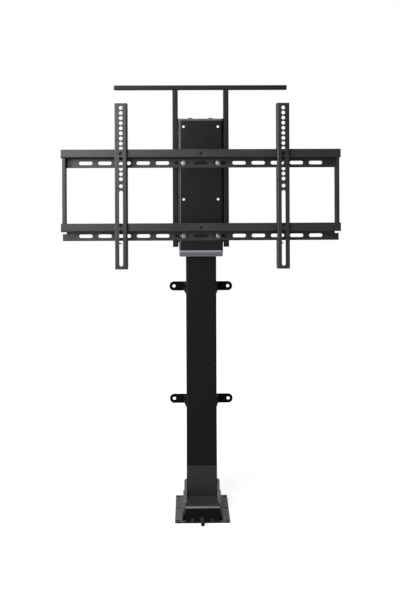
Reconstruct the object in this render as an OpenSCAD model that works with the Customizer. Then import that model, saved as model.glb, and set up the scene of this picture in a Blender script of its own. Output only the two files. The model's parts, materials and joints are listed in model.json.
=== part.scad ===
// TV lift mechanism: a telescopic column on a floor base carries a folded carriage,
// two slotted rails, two screen arms and a lid bar that pushes a cabinet lid open.
// Millimetres. X to the right, Y to the back, Z up, origin on the floor under the column's axis.
// The lift is drawn at mid travel, with the arms where a 415 mm wide hole pattern needs them.

/* [Base plate] */
// Width of the base plate
base_w = 140; // [130:1:180]
// Depth of the base plate
base_d = 190; // [170:1:240]
// Thickness of the base plate
base_t = 4; // [3:0.5:8]
// Distance from the column's axis to the plate's front edge
base_front = 119.5; // [117:0.5:140]
// Corner radius of the base plate
base_r = 3; // [1:0.5:5]
// Diameter of a floor screw hole
base_hole_d = 8.5; // [4:0.5:9]
// Distance from a floor hole's centre to the plate's side edge
base_hole_side = 7.5; // [6:0.5:8]
// Distance from the first floor hole's centre to the plate's front edge
base_hole_front = 8; // [6:0.5:14]
// Distance from one floor hole to the next, front to back
base_hole_pitch = 85; // [60:1:87]
// Size of the relief notches in the plate's front edge
base_notch = 4; // [2:0.5:6]

/* [Outer column] */
// Width of the outer column
col_w = 80; // [74:1:90]
// Depth of the outer column
col_d = 60; // [56:1:70]
// Wall of the outer column
col_t = 2; // [1.5:0.25:3]
// Outer corner radius of the outer column
col_r = 5; // [4:0.5:8]
// Height of the outer column's top above the floor
col_top = 700; // [660:5:705]

/* [Gussets] */
// Thickness of the gusset sheet
gusset_t = 3; // [2:0.5:4]
// Height of a gusset above the base plate
gusset_h = 77; // [60:1:100]
// How far behind the column's front face the sloped edge starts
gusset_set = 6; // [3:0.5:12]
// How far forward the sloped edge runs
gusset_run = 42; // [30:1:45]
// Reach of the sloped flange beside the column, low down
gusset_low_reach = 9.2; // [8:0.1:12]
// Reach of the sloped flange beside the column, high up
gusset_high_reach = 6.6; // [5:0.1:8]
// Height above the base plate where the flange steps in
gusset_step = 51; // [30:1:60]
// How much lower a gusset's top is at its rear end
gusset_drop = 18; // [0:1:40]
// Chamfer at the flange's top
gusset_chamfer = 4; // [2:0.5:6]

/* [Drive case and brace] */
// Distance from the base plate's front edge to the case's front face
case_inset = 0.5; // [0.5:0.5:4]
// Thickness of the case's front panel
panel_t = 6.5; // [5:0.5:8]
// Width of the case's front panel
panel_w = 88.4; // [80:0.1:96]
// Height of the front panel's lip above the floor
panel_top = 41.5; // [38:0.5:48]
// Height of the lip's slope at the panel's top
lip_slope = 4; // [2:0.25:4.5]
// Height of the case's roof above the floor
case_top = 32; // [30:0.5:35]
// Wall of the case
case_wall = 2.5; // [1.5:0.25:3]
// Width of the flared part at its foot
case_foot_w = 103; // [96:0.2:106]
// Width of the flared part at its roof
case_roof_w = 86; // [80:0.5:90]
// Gap between the flared part and the gussets behind it
case_flare_gap = 2; // [1:0.25:4]
// Width of the case's rear part, between the gussets
case_rear_w = 77; // [70:0.5:79]
// Thickness of the brace sheet
brace_t = 2.5; // [1.5:0.25:3]
// Width of the brace's upright
brace_w = 78; // [70:1:80]
// Height of the brace's top above the floor
brace_top = 117; // [90:1:140]
// Width of the brace's foot at its front end
brace_front_w = 88; // [82:0.5:90]
// Gap between the brace's foot and the front panel
brace_gap = 2; // [1:0.25:4]
// Bend radius of the brace, outside
brace_r = 4; // [3.5:0.25:6]

/* [Case screws and gland] */
// Distance between the two case screws
case_screw_dx = 50.8; // [40:0.2:60]
// Height of the case screws above the base plate
case_screw_z = 3.6; // [3.5:0.1:8]
// Diameter of a case screw's head
case_screw_head = 6.5; // [5:0.25:7]
// Height of a case screw's head
case_screw_head_h = 2.2; // [1.5:0.1:3]
// Diameter of a case screw's thread
case_screw_d = 3.5; // [2.5:0.25:4]
// Diameter of the gland's flange
gland_flange_d = 11.5; // [10:0.5:12]
// Diameter of the gland's stem
gland_d = 9.6; // [8:0.2:10]
// Length of the gland in front of the panel
gland_len = 36; // [25:1:45]
// Diameter of the gland's neck in the panel
gland_neck_d = 8; // [6:0.25:8]
// Bore for the lead at the gland's end
gland_bore_d = 5.5; // [4:0.25:6]
// Height of the gland's axis above the base plate
gland_z = 6; // [6:0.25:12]

/* [Drive] */
// Number of teeth on the worm wheel
wheel_teeth = 20; // [20:1:20]
// Module of the worm gear pair
gear_module = 1.25; // [1:0.05:1.25]
// Number of thread starts on the worm
worm_starts = 2; // [2:1:2]
// Pitch diameter of the worm
worm_pitch_d = 10; // [9:0.5:10.5]
// Length of the worm's thread
worm_len = 26; // [18:1:32]
// Face width of the worm wheel
wheel_face = 8; // [6:0.5:9]
// Play between the worm's thread and the wheel's teeth
gear_play = 0.5; // [0.4:0.05:0.7]
// Height of the worm's axis above the base plate
worm_z = 13; // [12.8:0.1:13.2]
// Diameter of the worm's shaft
worm_shaft_d = 5; // [4:0.5:5.5]
// Diameter of the motor
motor_d = 23; // [20:0.5:24]
// Length of the motor
motor_len = 43.5; // [35:0.5:44]
// Distance from the column's axis to the motor's front face
motor_face = 56; // [54:0.5:58]
// Thickness of the motor bracket sheet
motor_bracket_t = 3; // [2:0.5:3]
// Diameter of the motor's pilot boss
motor_boss_d = 9; // [8:0.25:10]
// Thickness of the speed sensor board
sensor_t = 1.6; // [1:0.2:2]
// Side of the speed sensor board
sensor_side = 18; // [12:1:20]

/* [Lead screw] */
// Diameter of the lead screw's thread
screw_d = 16; // [14:0.5:18]
// Height of the lead screw's top above the floor
screw_top = 620; // [560:5:650]
// Diameter of the journal under the worm wheel
foot_journal_d = 8; // [6:0.5:9]
// Diameter of the journal in the worm wheel
wheel_journal_d = 10; // [9.5:0.5:12]
// Outer diameter of the lower bearing
bearing_d = 19; // [16:0.5:19]
// Height of the lower bearing
bearing_h = 6; // [5:0.25:6.2]
// Height of the bearing bridge's underside above the floor
bridge_z = 40; // [36:1:42]
// Thickness of the bearing bridge
bridge_t = 8; // [6:0.5:9]
// Diameter of the drive nut's body
nut_d = 24; // [22:0.5:28]
// Length of the drive nut's body
nut_len = 32; // [24:1:40]
// Diameter of the drive nut's flange
nut_flange_d = 34; // [32:0.5:40]
// Thickness of the drive nut's flange
nut_flange_t = 5; // [3:0.5:8]
// Thickness of the nut plate
nut_plate_t = 8; // [5:0.5:12]

/* [Inner column] */
// Width of the inner column
inner_w = 70; // [64:0.5:70]
// Depth of the inner column
inner_d = 50; // [46:0.5:50]
// Wall of the inner column
inner_t = 2; // [1.5:0.25:3]
// Outer corner radius of the inner column
inner_r = 4; // [3.5:0.25:6]
// Height of the inner column's foot above the floor
inner_low = 365; // [362:1:420]
// Height of the glide shoe
shoe_h = 40; // [20:1:60]
// Depth of the guide bush in the outer column
guide_h = 40; // [20:1:60]
// Thickness of the guide bush's rim
guide_rim = 3.5; // [2:0.5:6]
// Height of the head block
head_h = 20; // [15:1:30]

/* [Carriage] */
// Width of the carriage
car_w = 115; // [112:0.5:116]
// Distance from the column's axis to the carriage's front face
car_front = 48; // [44:0.5:52]
// Distance from the column's axis to the carriage's rear face
car_back = 10; // [8:0.5:12]
// Thickness of the carriage sheet
car_t = 2.5; // [2:0.25:3]
// Outside bend radius of the carriage
car_r = 5; // [4:0.5:7]
// Height of the carriage's lower edge above the floor
car_low = 685; // [680:0.5:688]
// Height of the cap plate's top above the floor
car_top = 1029.4; // [1020:0.2:1040]
// Thickness of the cap plate
cap_t = 5; // [3:0.5:8]
// Reach of the rear flanges beside the carriage
car_flange = 14.5; // [12:0.5:15]
// How far the rear flanges rise beside the cap plate, from its underside
car_flange_rise = 10; // [6:0.5:14]
// How far the rear flanges stop above the carriage's lower edge
car_flange_up = 17; // [8:0.5:20]
// Slant at the lower end of the rear flanges
car_flange_slant = 9; // [4:0.5:12]
// Distance from a column of holes to the carriage's side face
car_hole_side = 12.5; // [10:0.25:13]
// Distance from one row of holes to the next
car_hole_pitch = 95; // [90:0.5:96]
// Height of the lowest row of holes above the floor
car_hole_z = 723.5; // [718:0.5:726]
// Diameter of the carriage's holes
car_hole_d = 6.5; // [6.2:0.1:7.5]
// Distance between the two cap bolts
cap_bolt_dx = 55; // [40:0.5:55]
// Diameter of a cap bolt
cap_bolt_d = 8; // [6:0.5:8]
// Width across flats of a cap bolt's head
cap_bolt_af = 13; // [10:0.5:14]
// Height of a cap bolt's head
cap_bolt_head = 5.3; // [4:0.1:6]

/* [Collar] */
// Height of the collar
collar_h = 16; // [10:0.5:20]
// Height of the collar's bright rim
collar_rim = 5; // [3:0.5:7]
// How far the lower band stands in from the rim
collar_step = 0.8; // [0.4:0.1:1.5]
// Corner radius at the lower band's foot
collar_r = 3; // [2:0.5:4]
// Distance from the column's axis to the collar's rear end
collar_back = 2; // [-4:0.5:4]

/* [Rails] */
// Length of a rail
rail_len = 720; // [660:2:820]
// Thickness of the rail sheet
rail_t = 2.5; // [2:0.25:3]
// Outside bend radius of a rail
rail_r = 4; // [3.5:0.25:5]
// Distance from the slots' centre line down to the web's lower edge
web_low = 12.4; // [10:0.2:14]
// Distance from the slots' centre line up to the ledge's top
ledge_up = 14.7; // [13:0.1:16]
// Distance from the slots' centre line up to the band's top
band_up = 34.4; // [30:0.2:38]
// How far the band stands in front of the web
band_fwd = 35; // [30:0.5:38]
// Number of slots in a rail
slot_n = 13; // [11:2:13]
// Distance from one slot to the next
slot_pitch = 50; // [46:0.5:52]
// Length of a slot
slot_len = 35; // [28:0.5:38]
// Height of a slot
slot_h = 9; // [7.5:0.25:10]
// Diameter of the hole in the band's middle
band_hole_d = 6.5; // [5:0.5:8]
// Length of the notch at each end of the web
end_notch_len = 10; // [8:0.5:16]
// Height of the notch at each end of the web
end_notch_h = 6.5; // [4:0.25:6.5]
// Width of an end bar
end_bar_w = 8; // [4:0.5:9]
// Depth of an end bar
end_bar_d = 31; // [20:0.5:31]
// Distance from the rail's end to an end bar
end_bar_inset = 3; // [1:0.5:8]
// Width of an end bar's foot beside the bar
end_foot = 10; // [6:0.5:14]

/* [Rail bolts] */
// Diameter of a rail bolt's thread
rail_bolt_d = 6; // [5:0.25:6]
// Diameter of a rail bolt's head
rail_bolt_head = 12.5; // [11:0.25:14]
// Height of a rail bolt's head
rail_bolt_head_h = 4.5; // [3.5:0.25:5]
// Thickness of the washer under a rail bolt's head
rail_washer_t = 1.2; // [0.8:0.1:1.6]
// Diameter of the washer under a rail bolt's head
rail_washer_d = 14; // [12.5:0.25:16]
// Width across flats of a rail nut
rail_nut_af = 10; // [9:0.25:11]
// Height of a rail nut
rail_nut_h = 5; // [4:0.25:6]
// How far a rail bolt stands out of its nut
rail_bolt_out = 1; // [0.5:0.25:3]

/* [Screen arms] */
// Distance from the middle plane to the left arm
left_arm_x = 204.8; // [180:0.2:240]
// Distance from the middle plane to the right arm
right_arm_x = 211; // [180:0.2:240]
// Width of an arm
arm_w = 32; // [30:0.5:36]
// Depth of an arm
arm_d = 30; // [26:0.5:30]
// Distance from the lower slot's end to the arm's lower end
arm_tail = 12.6; // [10:0.2:24]
// Height of an arm's top above the floor
arm_top = 1065.4; // [1060:0.2:1070]
// Thickness of the arm sheet
arm_t = 2.5; // [2:0.25:3]
// Outside bend radius of an arm
arm_r = 3.5; // [3.25:0.25:5]
// Gap between the arm's front plate and the rail's band
arm_gap = 9.5; // [8:0.5:11]
// Diameter of an arm's holes and width of its slots
arm_hole_d = 9.5; // [8:0.25:10]
// Distance from the arm's top to its first hole
arm_hole_top = 12; // [10:0.5:12]
// Distance from one arm hole to the next
arm_hole_pitch = 13; // [12.5:0.1:13.5]
// Number of evenly spaced arm holes
arm_hole_n = 15; // [12:1:15]
// Distance from the first hole to the single hole below the row
arm_single_hole = 200; // [198:0.5:202]
// Distance from the first hole to the upper slot's ends
arm_slot_1 = [216.5, 300];
// Distance from the first hole to the lower slot's ends
arm_slot_2 = [316.5, 400];
// Gap between a band and the hook that hangs on it
hook_gap = 0.4; // [0.3:0.05:0.6]
// Drop that an arm needs to hook on
hook_drop = 19; // [18.5:0.5:22]
// Clearance between the hook's tip and the ledge
hook_tip = 1.3; // [0.8:0.1:2]
// Distance from the lower rail's slots down to the lock screws
lock_down = 17.3; // [15:0.1:20]
// Distance from an arm's front face back to its lock screw
lock_back = 12.5; // [11:0.25:16]
// Diameter of a headless lock screw
lock_d = 3; // [2.5:0.5:5]
// Length of a lock screw, from its arm's outer face
lock_len = 16.5; // [12:0.5:20]
// Width across the flats of a lock screw's socket
lock_socket = 1.5; // [1.2:0.1:2]
// Thickness of a latch
latch_t = 2.5; // [1.5:0.25:4]
// Width of a latch
latch_w = 20; // [18:0.5:22]
// How far back the latch's middle lies from its screw
latch_set = 2; // [1:0.25:3]
// Gap between a latch and the ledge above it
latch_gap = 1; // [0.5:0.1:2]

/* [Lid bar] */
// Length of the lid bar
bar_len = 453; // [360:1:600]
// Height of the lid bar's tube
bar_h = 12; // [10:0.5:16]
// Depth of the lid bar's tube
bar_d = 16; // [15:0.5:24]
// Height of the lid bar's underside above the cap plate
bar_rise = 76.4; // [70:0.2:120]
// Wall of the lid bar's tubes
bar_t = 1.5; // [1:0.25:2]
// Corner radius of the lid bar's tubes
bar_r = 2.5; // [2:0.25:3.5]
// Side of a post
post_side = 14.25; // [14:0.25:15.5]
// Gap between the carriage's side wall and a post
post_gap = 2; // [0.9:0.1:2.5]
// Height of a post's lower end above the floor
post_low = 693.7; // [680:0.1:696]
// Distance from the carriage's front back to the posts' front
post_set = 8; // [3.2:0.1:10]
// Thickness of the caps on the posts and the bar
tube_cap_t = 3; // [2:0.25:4]
// Depth of the caps' plugs
tube_plug = 10; // [6:0.5:15]

/* [Clamps] */
// Height of a post clamp
clamp_h = 34; // [24:1:36]
// Thickness of a post clamp's strap
clamp_t = 2.3; // [2:0.1:2.6]
// Diameter of a clamp screw
clamp_screw_d = 6; // [4:0.5:8]
// Diameter of a clamp screw's head
clamp_head_d = 11; // [9:0.5:14]
// Height of a clamp screw's head
clamp_head_h = 4; // [3:0.25:5]

/* [Wall ears] */
// Distance between the left and right ear holes
ear_dx = 145; // [140:0.5:160]
// Height of the upper ears' holes above the floor
ear_z = 584; // [560:0.5:600]
// Distance from the upper ears down to the lower ears
ear_pitch = 303.5; // [250:0.5:340]
// Height of an ear
ear_h = 24.6; // [20:0.2:28]
// Thickness of the ear sheet
ear_t = 3; // [2:0.25:4]
// Diameter of an ear's hole
ear_hole_d = 8.7; // [6:0.1:10]
// Depth of an ear's flange on the column's side
ear_flange = 22; // [18:0.5:22]
// Outside bend radius of an ear
ear_r = 5; // [4:0.5:6]
// Extra length of the flange below the ear
ear_drop = 5; // [2:0.5:8]
// Diameter of an ear screw
ear_screw_d = 5; // [4:0.5:6]
// Diameter of an ear screw's head
ear_screw_head = 9; // [7:0.5:10]
// Height of an ear screw's head
ear_screw_head_h = 2.5; // [1.5:0.25:3]

/* [Fits] */
// Running gap between sliding plastic and tube
run_gap = 0.35; // [0.3:0.05:0.5]
// Radial clearance of a shaft in its bore
shaft_play = 0.06; // [0.03:0.01:0.09]
// Overshoot of a cut past the face it opens
cut = 1; // [0.5:0.5:2]

/* [Hidden] */
$fn = 64;

// Colours as the object shows them
powder_black = [0.16, 0.16, 0.17];
powder_grey = [0.34, 0.34, 0.35];
column_black = [0.09, 0.09, 0.1];
case_black = [0.06, 0.06, 0.065];
bare_steel = [0.72, 0.7, 0.66];
collar_grey = [0.5, 0.51, 0.54];
glide_white = [0.85, 0.85, 0.82];
brass = [0.78, 0.62, 0.3];

// Where things stand
base_back = base_d - base_front;
col_front = col_d / 2;
brace_face = col_front + brace_t;
case_front = base_front - case_inset;
panel_back = case_front - panel_t;
upper_rail_z = car_hole_z + 2 * car_hole_pitch;
lower_rail_z = car_hole_z;
web_back = car_front;
web_face = web_back + rail_t;
band_face = web_face + band_fwd;
band_back = band_face - rail_t;
ledge_low = ledge_up - rail_t;
arm_face = band_face + arm_gap + arm_t;
arm_back = arm_face - arm_d;
arm_len = arm_hole_top + arm_slot_2[1] + arm_tail;
car_side = car_w / 2;
car_hole_x = car_side - car_hole_side;
cap_low = car_top - cap_t;
flange_face = car_back - car_t;
post_x = car_side + post_gap + post_side / 2;
post_back = post_set + post_side - car_front;
post_y = post_back - post_side / 2;
post_top = car_top + bar_rise;
bar_top = post_top + bar_h;
axis_z = base_t + worm_z;

// The worm gear pair
wheel_pitch_d = wheel_teeth * gear_module;
worm_x = (wheel_pitch_d + worm_pitch_d) / 2;
worm_lead = worm_starts * PI * gear_module;
worm_angle = atan(worm_lead / (PI * worm_pitch_d));
tooth_w = PI * gear_module / 2 - gear_play;

// A rectangle with round corners, centred
module rounded_rect(w, d, r) {
    square([w - 2 * r, d], center = true);
    square([w, d - 2 * r], center = true);
    for (x = [-1, 1], y = [-1, 1])
        translate([x * (w / 2 - r), y * (d / 2 - r)])
            circle(r);
}

// The section of a rectangular tube
module tube_section(w, d, t, r) {
    difference() {
        rounded_rect(w, d, r);
        rounded_rect(w - 2 * t, d - 2 * t, r - t);
    }
}

// A quarter ring that turns a sheet round an outer corner at [x, y]; dx and dy point into the sheet
module bend(x, y, dx, dy, t, r) {
    translate([x + dx * r, y + dy * r])
        intersection() {
            difference() {
                circle(r);
                circle(r - t);
            }
            translate([dx > 0 ? -r : 0, dy > 0 ? -r : 0])
                square(r);
        }
}

// A rectangle given by two opposite corners
module rect(a, b) {
    translate([min(a.x, b.x), min(a.y, b.y)])
        square([abs(b.x - a.x), abs(b.y - a.y)]);
}

// A box given by two opposite corners
module block(a, b) {
    translate([min(a.x, b.x), min(a.y, b.y), min(a.z, b.z)])
        cube([abs(b.x - a.x), abs(b.y - a.y), abs(b.z - a.z)]);
}

// Stands a drawing of Y and Z up and runs it along X from x0 to x1
module along_x(x0, x1) {
    translate([x0, 0, 0])
        rotate([90, 0, 90])
            linear_extrude(x1 - x0)
                children();
}

// Stands a drawing of X and Z up and runs it along Y from y0 to y1
module along_y(y0, y1) {
    translate([0, y1, 0])
        rotate([90, 0, 0])
            linear_extrude(y1 - y0)
                children();
}

// A round rod along X, from x0 to x1
module rod_x(d, x0, x1) {
    translate([x0, 0, 0])
        rotate([0, 90, 0])
            cylinder(d = d, h = x1 - x0);
}

// A round rod along Y, from y0 to y1
module rod_y(d, y0, y1) {
    translate([0, y0, 0])
        rotate([-90, 0, 0])
            cylinder(d = d, h = y1 - y0);
}

// Draws its children as they are for side 1, and mirrored to the left for side -1
module on_side(side) {
    if (side > 0)
        children();
    else
        mirror([1, 0, 0])
            children();
}

module base_plate() color(powder_grey) {
    difference() {
        translate([0, (base_back - base_front) / 2, 0])
            linear_extrude(base_t)
                rounded_rect(base_w, base_d, base_r);
        for (x = [-1, 1], row = [0 : 2])
            translate([x * (base_w / 2 - base_hole_side),
                       base_hole_front - base_front + row * base_hole_pitch, -cut])
                cylinder(d = base_hole_d, h = base_t + 2 * cut);
        for (x = [-1, 1])
            translate([x * case_foot_w / 2, -base_front, base_t / 2])
                cube([base_notch, base_notch, base_t + 2 * cut], center = true);
    }
}

// Side plate on the column with a flange along its sloped front edge
module gusset() {
    x0 = col_w / 2;
    y_top = gusset_set - col_front;
    y_foot = y_top - gusset_run;
    z_top = base_t + gusset_h;
    slope = atan2(gusset_h, gusset_run);
    y_rear = col_front - col_r;
    along_x(x0, x0 + gusset_t)
        polygon([[y_foot, base_t], [y_rear, base_t], [y_rear, z_top - gusset_drop], [y_top, z_top]]);
    intersection() {
        along_x(x0, x0 + gusset_low_reach)
            polygon([[y_top, z_top], [y_foot, base_t], [y_foot + gusset_t / sin(slope), base_t],
                     [y_top, z_top - gusset_t / cos(slope)]]);
        along_y(y_foot - cut, y_top + cut)
            polygon([[x0, base_t], [x0 + gusset_low_reach, base_t],
                     [x0 + gusset_low_reach, base_t + gusset_step],
                     [x0 + gusset_high_reach, base_t + gusset_step],
                     [x0 + gusset_high_reach, z_top - gusset_chamfer],
                     [x0 + gusset_high_reach - gusset_chamfer, z_top], [x0, z_top]]);
    }
}

module left_gusset() color(powder_grey) on_side(-1) gusset();
module right_gusset() color(powder_grey) on_side(1) gusset();

// Folded sheet: upright on the column's front, foot on the roof of the drive case
module front_brace() color(powder_black) {
    foot_front = panel_back - brace_gap;
    flare_start = col_front + gusset_run - gusset_set + case_wall * 2;
    intersection() {
        along_x(-case_foot_w / 2, case_foot_w / 2) {
            rect([-brace_face, case_top + brace_r], [-col_front, brace_top]);
            bend(-col_front, case_top, -1, 1, brace_t, brace_r);
            rect([-col_front - brace_r, case_top], [-foot_front, case_top + brace_t]);
        }
        linear_extrude(brace_top)
            polygon([[-brace_w / 2, -col_front], [brace_w / 2, -col_front],
                     [brace_w / 2, -flare_start], [brace_front_w / 2, -foot_front],
                     [-brace_front_w / 2, -foot_front], [-brace_w / 2, -flare_start]]);
    }
}

// Black moulded case: panel with a sloped lip, flared body behind it, narrow part up to the column
module gear_case() color(case_black) {
    flare_back = col_front + gusset_run - gusset_set + case_flare_gap;
    difference() {
        union() {
            along_x(-panel_w / 2, panel_w / 2)
                polygon([[-case_front, base_t], [-case_front, panel_top - lip_slope],
                         [lip_slope - case_front, panel_top], [-panel_back, panel_top],
                         [-panel_back, base_t]]);
            along_y(-panel_back, -flare_back)
                polygon([[-case_foot_w / 2, base_t], [case_foot_w / 2, base_t],
                         [case_roof_w / 2, case_top], [-case_roof_w / 2, case_top]]);
            block([-case_rear_w / 2, -flare_back, base_t], [case_rear_w / 2, -col_front, case_top]);
        }
        along_y(-panel_back, -flare_back - case_wall)
            polygon([[case_wall * 1.2 - case_foot_w / 2, base_t], [case_foot_w / 2 - case_wall * 1.2, base_t],
                     [case_roof_w / 2 - case_wall, case_top - case_wall],
                     [case_wall - case_roof_w / 2, case_top - case_wall]]);
        block([case_wall - case_rear_w / 2, -flare_back - case_wall - cut, base_t - cut],
              [case_rear_w / 2 - case_wall, -col_front + cut, case_top - case_wall]);
        for (x = [-1, 1])
            translate([x * case_screw_dx / 2, 0, base_t + case_screw_z])
                rod_y(case_screw_d, -case_front - cut, -panel_back + cut);
        translate([0, 0, base_t + gland_z])
            rod_y(gland_neck_d, -case_front - cut, -panel_back + cut);
    }
}

module case_screws() color(bare_steel) {
    for (x = [-1, 1])
        translate([x * case_screw_dx / 2, 0, base_t + case_screw_z]) {
            rod_y(case_screw_head, -case_front - case_screw_head_h, -case_front);
            rod_y(case_screw_d, -case_front, -panel_back);
        }
}

// Ribbed strain relief with an inlet for the motor's lead
module cable_gland() color(case_black) {
    ribs = 5;
    flange_t = 3;
    rib_pitch = (gland_len - 2 * flange_t) / ribs;
    rib_w = rib_pitch * 0.55;
    waist_d = (gland_d + gland_bore_d) / 2;
    translate([0, -panel_back, base_t + gland_z])
        rotate([90, 0, 0])
            difference() {
                union() {
                    cylinder(d = gland_neck_d, h = panel_t);
                    translate([0, 0, panel_t])
                        cylinder(d = gland_flange_d, h = flange_t);
                    translate([0, 0, panel_t])
                        cylinder(d = waist_d, h = gland_len);
                    for (i = [0 : ribs - 1])
                        translate([0, 0, panel_t + flange_t + (i + 0.7) * rib_pitch])
                            cylinder(d = gland_d, h = rib_w);
                }
                translate([0, 0, panel_t + gland_len / 2])
                    cylinder(d = gland_bore_d, h = gland_len);
            }
}

module outer_column() color(column_black) {
    difference() {
        translate([0, 0, base_t])
            linear_extrude(col_top - base_t)
                tube_section(col_w, col_d, col_t, col_r);
        translate([worm_x, 0, axis_z])
            rod_y(motor_boss_d, -col_front - cut, -col_front + col_t + cut);
    }
}

// Guide bush in the outer column's top, round the inner column
module column_guide() color(case_black) {
    difference() {
        union() {
            translate([0, 0, col_top - guide_h])
                linear_extrude(guide_h)
                    rounded_rect(col_w - 2 * col_t, col_d - 2 * col_t, col_r - col_t);
            translate([0, 0, col_top])
                linear_extrude(guide_rim)
                    rounded_rect(col_w, col_d, col_r);
        }
        translate([0, 0, col_top - guide_h - cut])
            linear_extrude(guide_h + guide_rim + 2 * cut)
                rounded_rect(inner_w + 2 * run_gap, inner_d + 2 * run_gap, inner_r + run_gap);
    }
}

// Ear screws sit this far above and below the ear's centre
ear_screw_dz = ear_h / 4;
ear_screw_y = col_front - ear_flange / 2 - ear_t / 2;

// Folded ear: flange on the column's side, round-ended plate with a wall screw hole
module ear(z) {
    x0 = col_w / 2;
    translate([0, 0, z])
        difference() {
            union() {
                intersection() {
                    translate([0, 0, -ear_h / 2 - ear_drop])
                        linear_extrude(ear_h + ear_drop) {
                            rect([x0, col_front - ear_flange], [x0 + ear_t, col_front - ear_r]);
                            bend(x0, col_front, 1, -1, ear_t, ear_r);
                        }
                    along_x(x0, x0 + ear_r)
                        polygon([[col_front - ear_flange, ear_h / 2], [col_front, ear_h / 2],
                                 [col_front, -ear_h / 2], [col_front - ear_r, -ear_h / 2 - ear_drop],
                                 [col_front - ear_flange, -ear_h / 2 - ear_drop]]);
                }
                along_y(col_front - ear_t, col_front) {
                    rect([x0 + ear_r, -ear_h / 2], [ear_dx / 2, ear_h / 2]);
                    translate([ear_dx / 2, 0])
                        circle(d = ear_h);
                }
            }
            translate([ear_dx / 2, 0, 0])
                rod_y(ear_hole_d, col_front - ear_t - cut, col_front + cut);
            for (dz = [-1, 1])
                translate([0, ear_screw_y, dz * ear_screw_dz])
                    rod_x(ear_screw_d, x0 - cut, x0 + ear_t + cut);
        }
}

module upper_left_ear() color(powder_black) on_side(-1) ear(ear_z);
module upper_right_ear() color(powder_black) on_side(1) ear(ear_z);
module lower_left_ear() color(powder_black) on_side(-1) ear(ear_z - ear_pitch);
module lower_right_ear() color(powder_black) on_side(1) ear(ear_z - ear_pitch);

module ear_screws() color(case_black) {
    x0 = col_w / 2;
    for (side = [-1, 1], z = [ear_z, ear_z - ear_pitch], dz = [-1, 1])
        on_side(side)
            translate([0, ear_screw_y, z + dz * ear_screw_dz]) {
                rod_x(ear_screw_d, x0, x0 + ear_t);
                rod_x(ear_screw_head, x0 + ear_t, x0 + ear_t + ear_screw_head_h);
            }
}

module drive_motor() color(bare_steel) {
    shaft_room = 12;
    translate([worm_x, 0, axis_z])
        difference() {
            union() {
                rod_y(motor_d, -motor_face - motor_len, -motor_face);
                rod_y(motor_boss_d, -motor_face, -motor_face + motor_bracket_t);
            }
            rod_y(worm_shaft_d + 2 * run_gap, -motor_face - shaft_room, -motor_face + motor_bracket_t + cut);
        }
}

module sensor_board() color([0.1, 0.32, 0.16]) {
    y1 = -motor_face - motor_len;
    half = sensor_side / 2;
    block([worm_x - half, y1 - sensor_t, axis_z - half], [worm_x + half, y1, axis_z + half]);
}

module motor_bracket() color(powder_grey) {
    half = motor_d / 2 + 1;
    foot = 13;
    difference() {
        union() {
            block([worm_x - half, -motor_face, base_t],
                  [worm_x + half, -motor_face + motor_bracket_t, axis_z + motor_d / 2]);
            block([worm_x - half, -motor_face + motor_bracket_t, base_t],
                  [worm_x + half, -motor_face + motor_bracket_t + foot, base_t + motor_bracket_t]);
        }
        translate([worm_x, 0, axis_z])
            rod_y(motor_boss_d, -motor_face - cut, -motor_face + motor_bracket_t + cut);
    }
}

// Cast frame on the base plate: seat for the screw's lower bearing and two bearings for the worm
module gear_frame() color(powder_grey) {
    wall = 4;
    wall_y = col_front - col_t - wall;
    half = worm_shaft_d + wall;
    difference() {
        union() {
            block([-bearing_d / 2 - wall, -wall_y, base_t], [worm_x + half, wall_y, base_t + bearing_h]);
            for (side = [-1, 1])
                block([worm_x - half, side * wall_y, base_t],
                      [worm_x + half, side * (wall_y - wall), axis_z + half]);
        }
        translate([0, 0, base_t - cut])
            cylinder(d = bearing_d, h = bearing_h + 2 * cut);
        translate([worm_x, 0, axis_z])
            rod_y(worm_shaft_d + 2 * shaft_play, -wall_y - cut, wall_y + cut);
    }
}

module screw_bearing() color(bare_steel) {
    translate([0, 0, base_t])
        difference() {
            cylinder(d = bearing_d, h = bearing_h);
            translate([0, 0, -cut])
                cylinder(d = foot_journal_d + 2 * shaft_play, h = bearing_h + 2 * cut);
        }
}

// Plate across the outer column that steadies the lead screw
module bearing_bridge() color(powder_grey) {
    translate([0, 0, bridge_z])
        difference() {
            linear_extrude(bridge_t)
                rounded_rect(col_w - 2 * col_t, col_d - 2 * col_t, col_r - col_t);
            translate([0, 0, -cut])
                cylinder(d = screw_d + 2 * shaft_play, h = bridge_t + 2 * cut);
        }
}

// Lead screw with its journals; its thread is drawn at the major diameter
module lead_screw() color(bare_steel) {
    foot_gap = 0.5;
    shoulder = base_t + bearing_h + run_gap;
    thread_low = axis_z + wheel_face / 2 + 1;
    translate([0, 0, base_t + foot_gap])
        cylinder(d = foot_journal_d, h = shoulder - base_t - foot_gap);
    translate([0, 0, shoulder])
        cylinder(d = wheel_journal_d, h = thread_low - shoulder);
    translate([0, 0, thread_low])
        cylinder(d = screw_d, h = screw_top - thread_low);
}

// Worm wheel: teeth that lean with the worm's thread
module worm_wheel() color(brass) {
    root_r = wheel_pitch_d / 2 - 1.25 * gear_module;
    tip_r = wheel_pitch_d / 2 + 0.8 * gear_module;
    lean = wheel_face * tan(worm_angle) / (wheel_pitch_d / 2) * 180 / PI;
    translate([0, 0, axis_z])
        difference() {
            union() {
                rotate([0, 0, 180 / wheel_teeth - lean / 2])
                    linear_extrude(wheel_face, center = true, twist = -lean, slices = 4, convexity = 6,
                                   $fn = 12)
                        for (i = [0 : wheel_teeth - 1])
                            rotate([0, 0, i * 360 / wheel_teeth])
                                polygon([[0, -tooth_w / 2], [root_r, -tooth_w / 1.6],
                                         [tip_r, -tooth_w / 3], [tip_r, tooth_w / 3],
                                         [root_r, tooth_w / 1.6], [0, tooth_w / 2]]);
                cylinder(r = root_r, h = wheel_face, center = true);
            }
            cylinder(d = wheel_journal_d, h = wheel_face + 2 * cut, center = true);
        }
}

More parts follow.
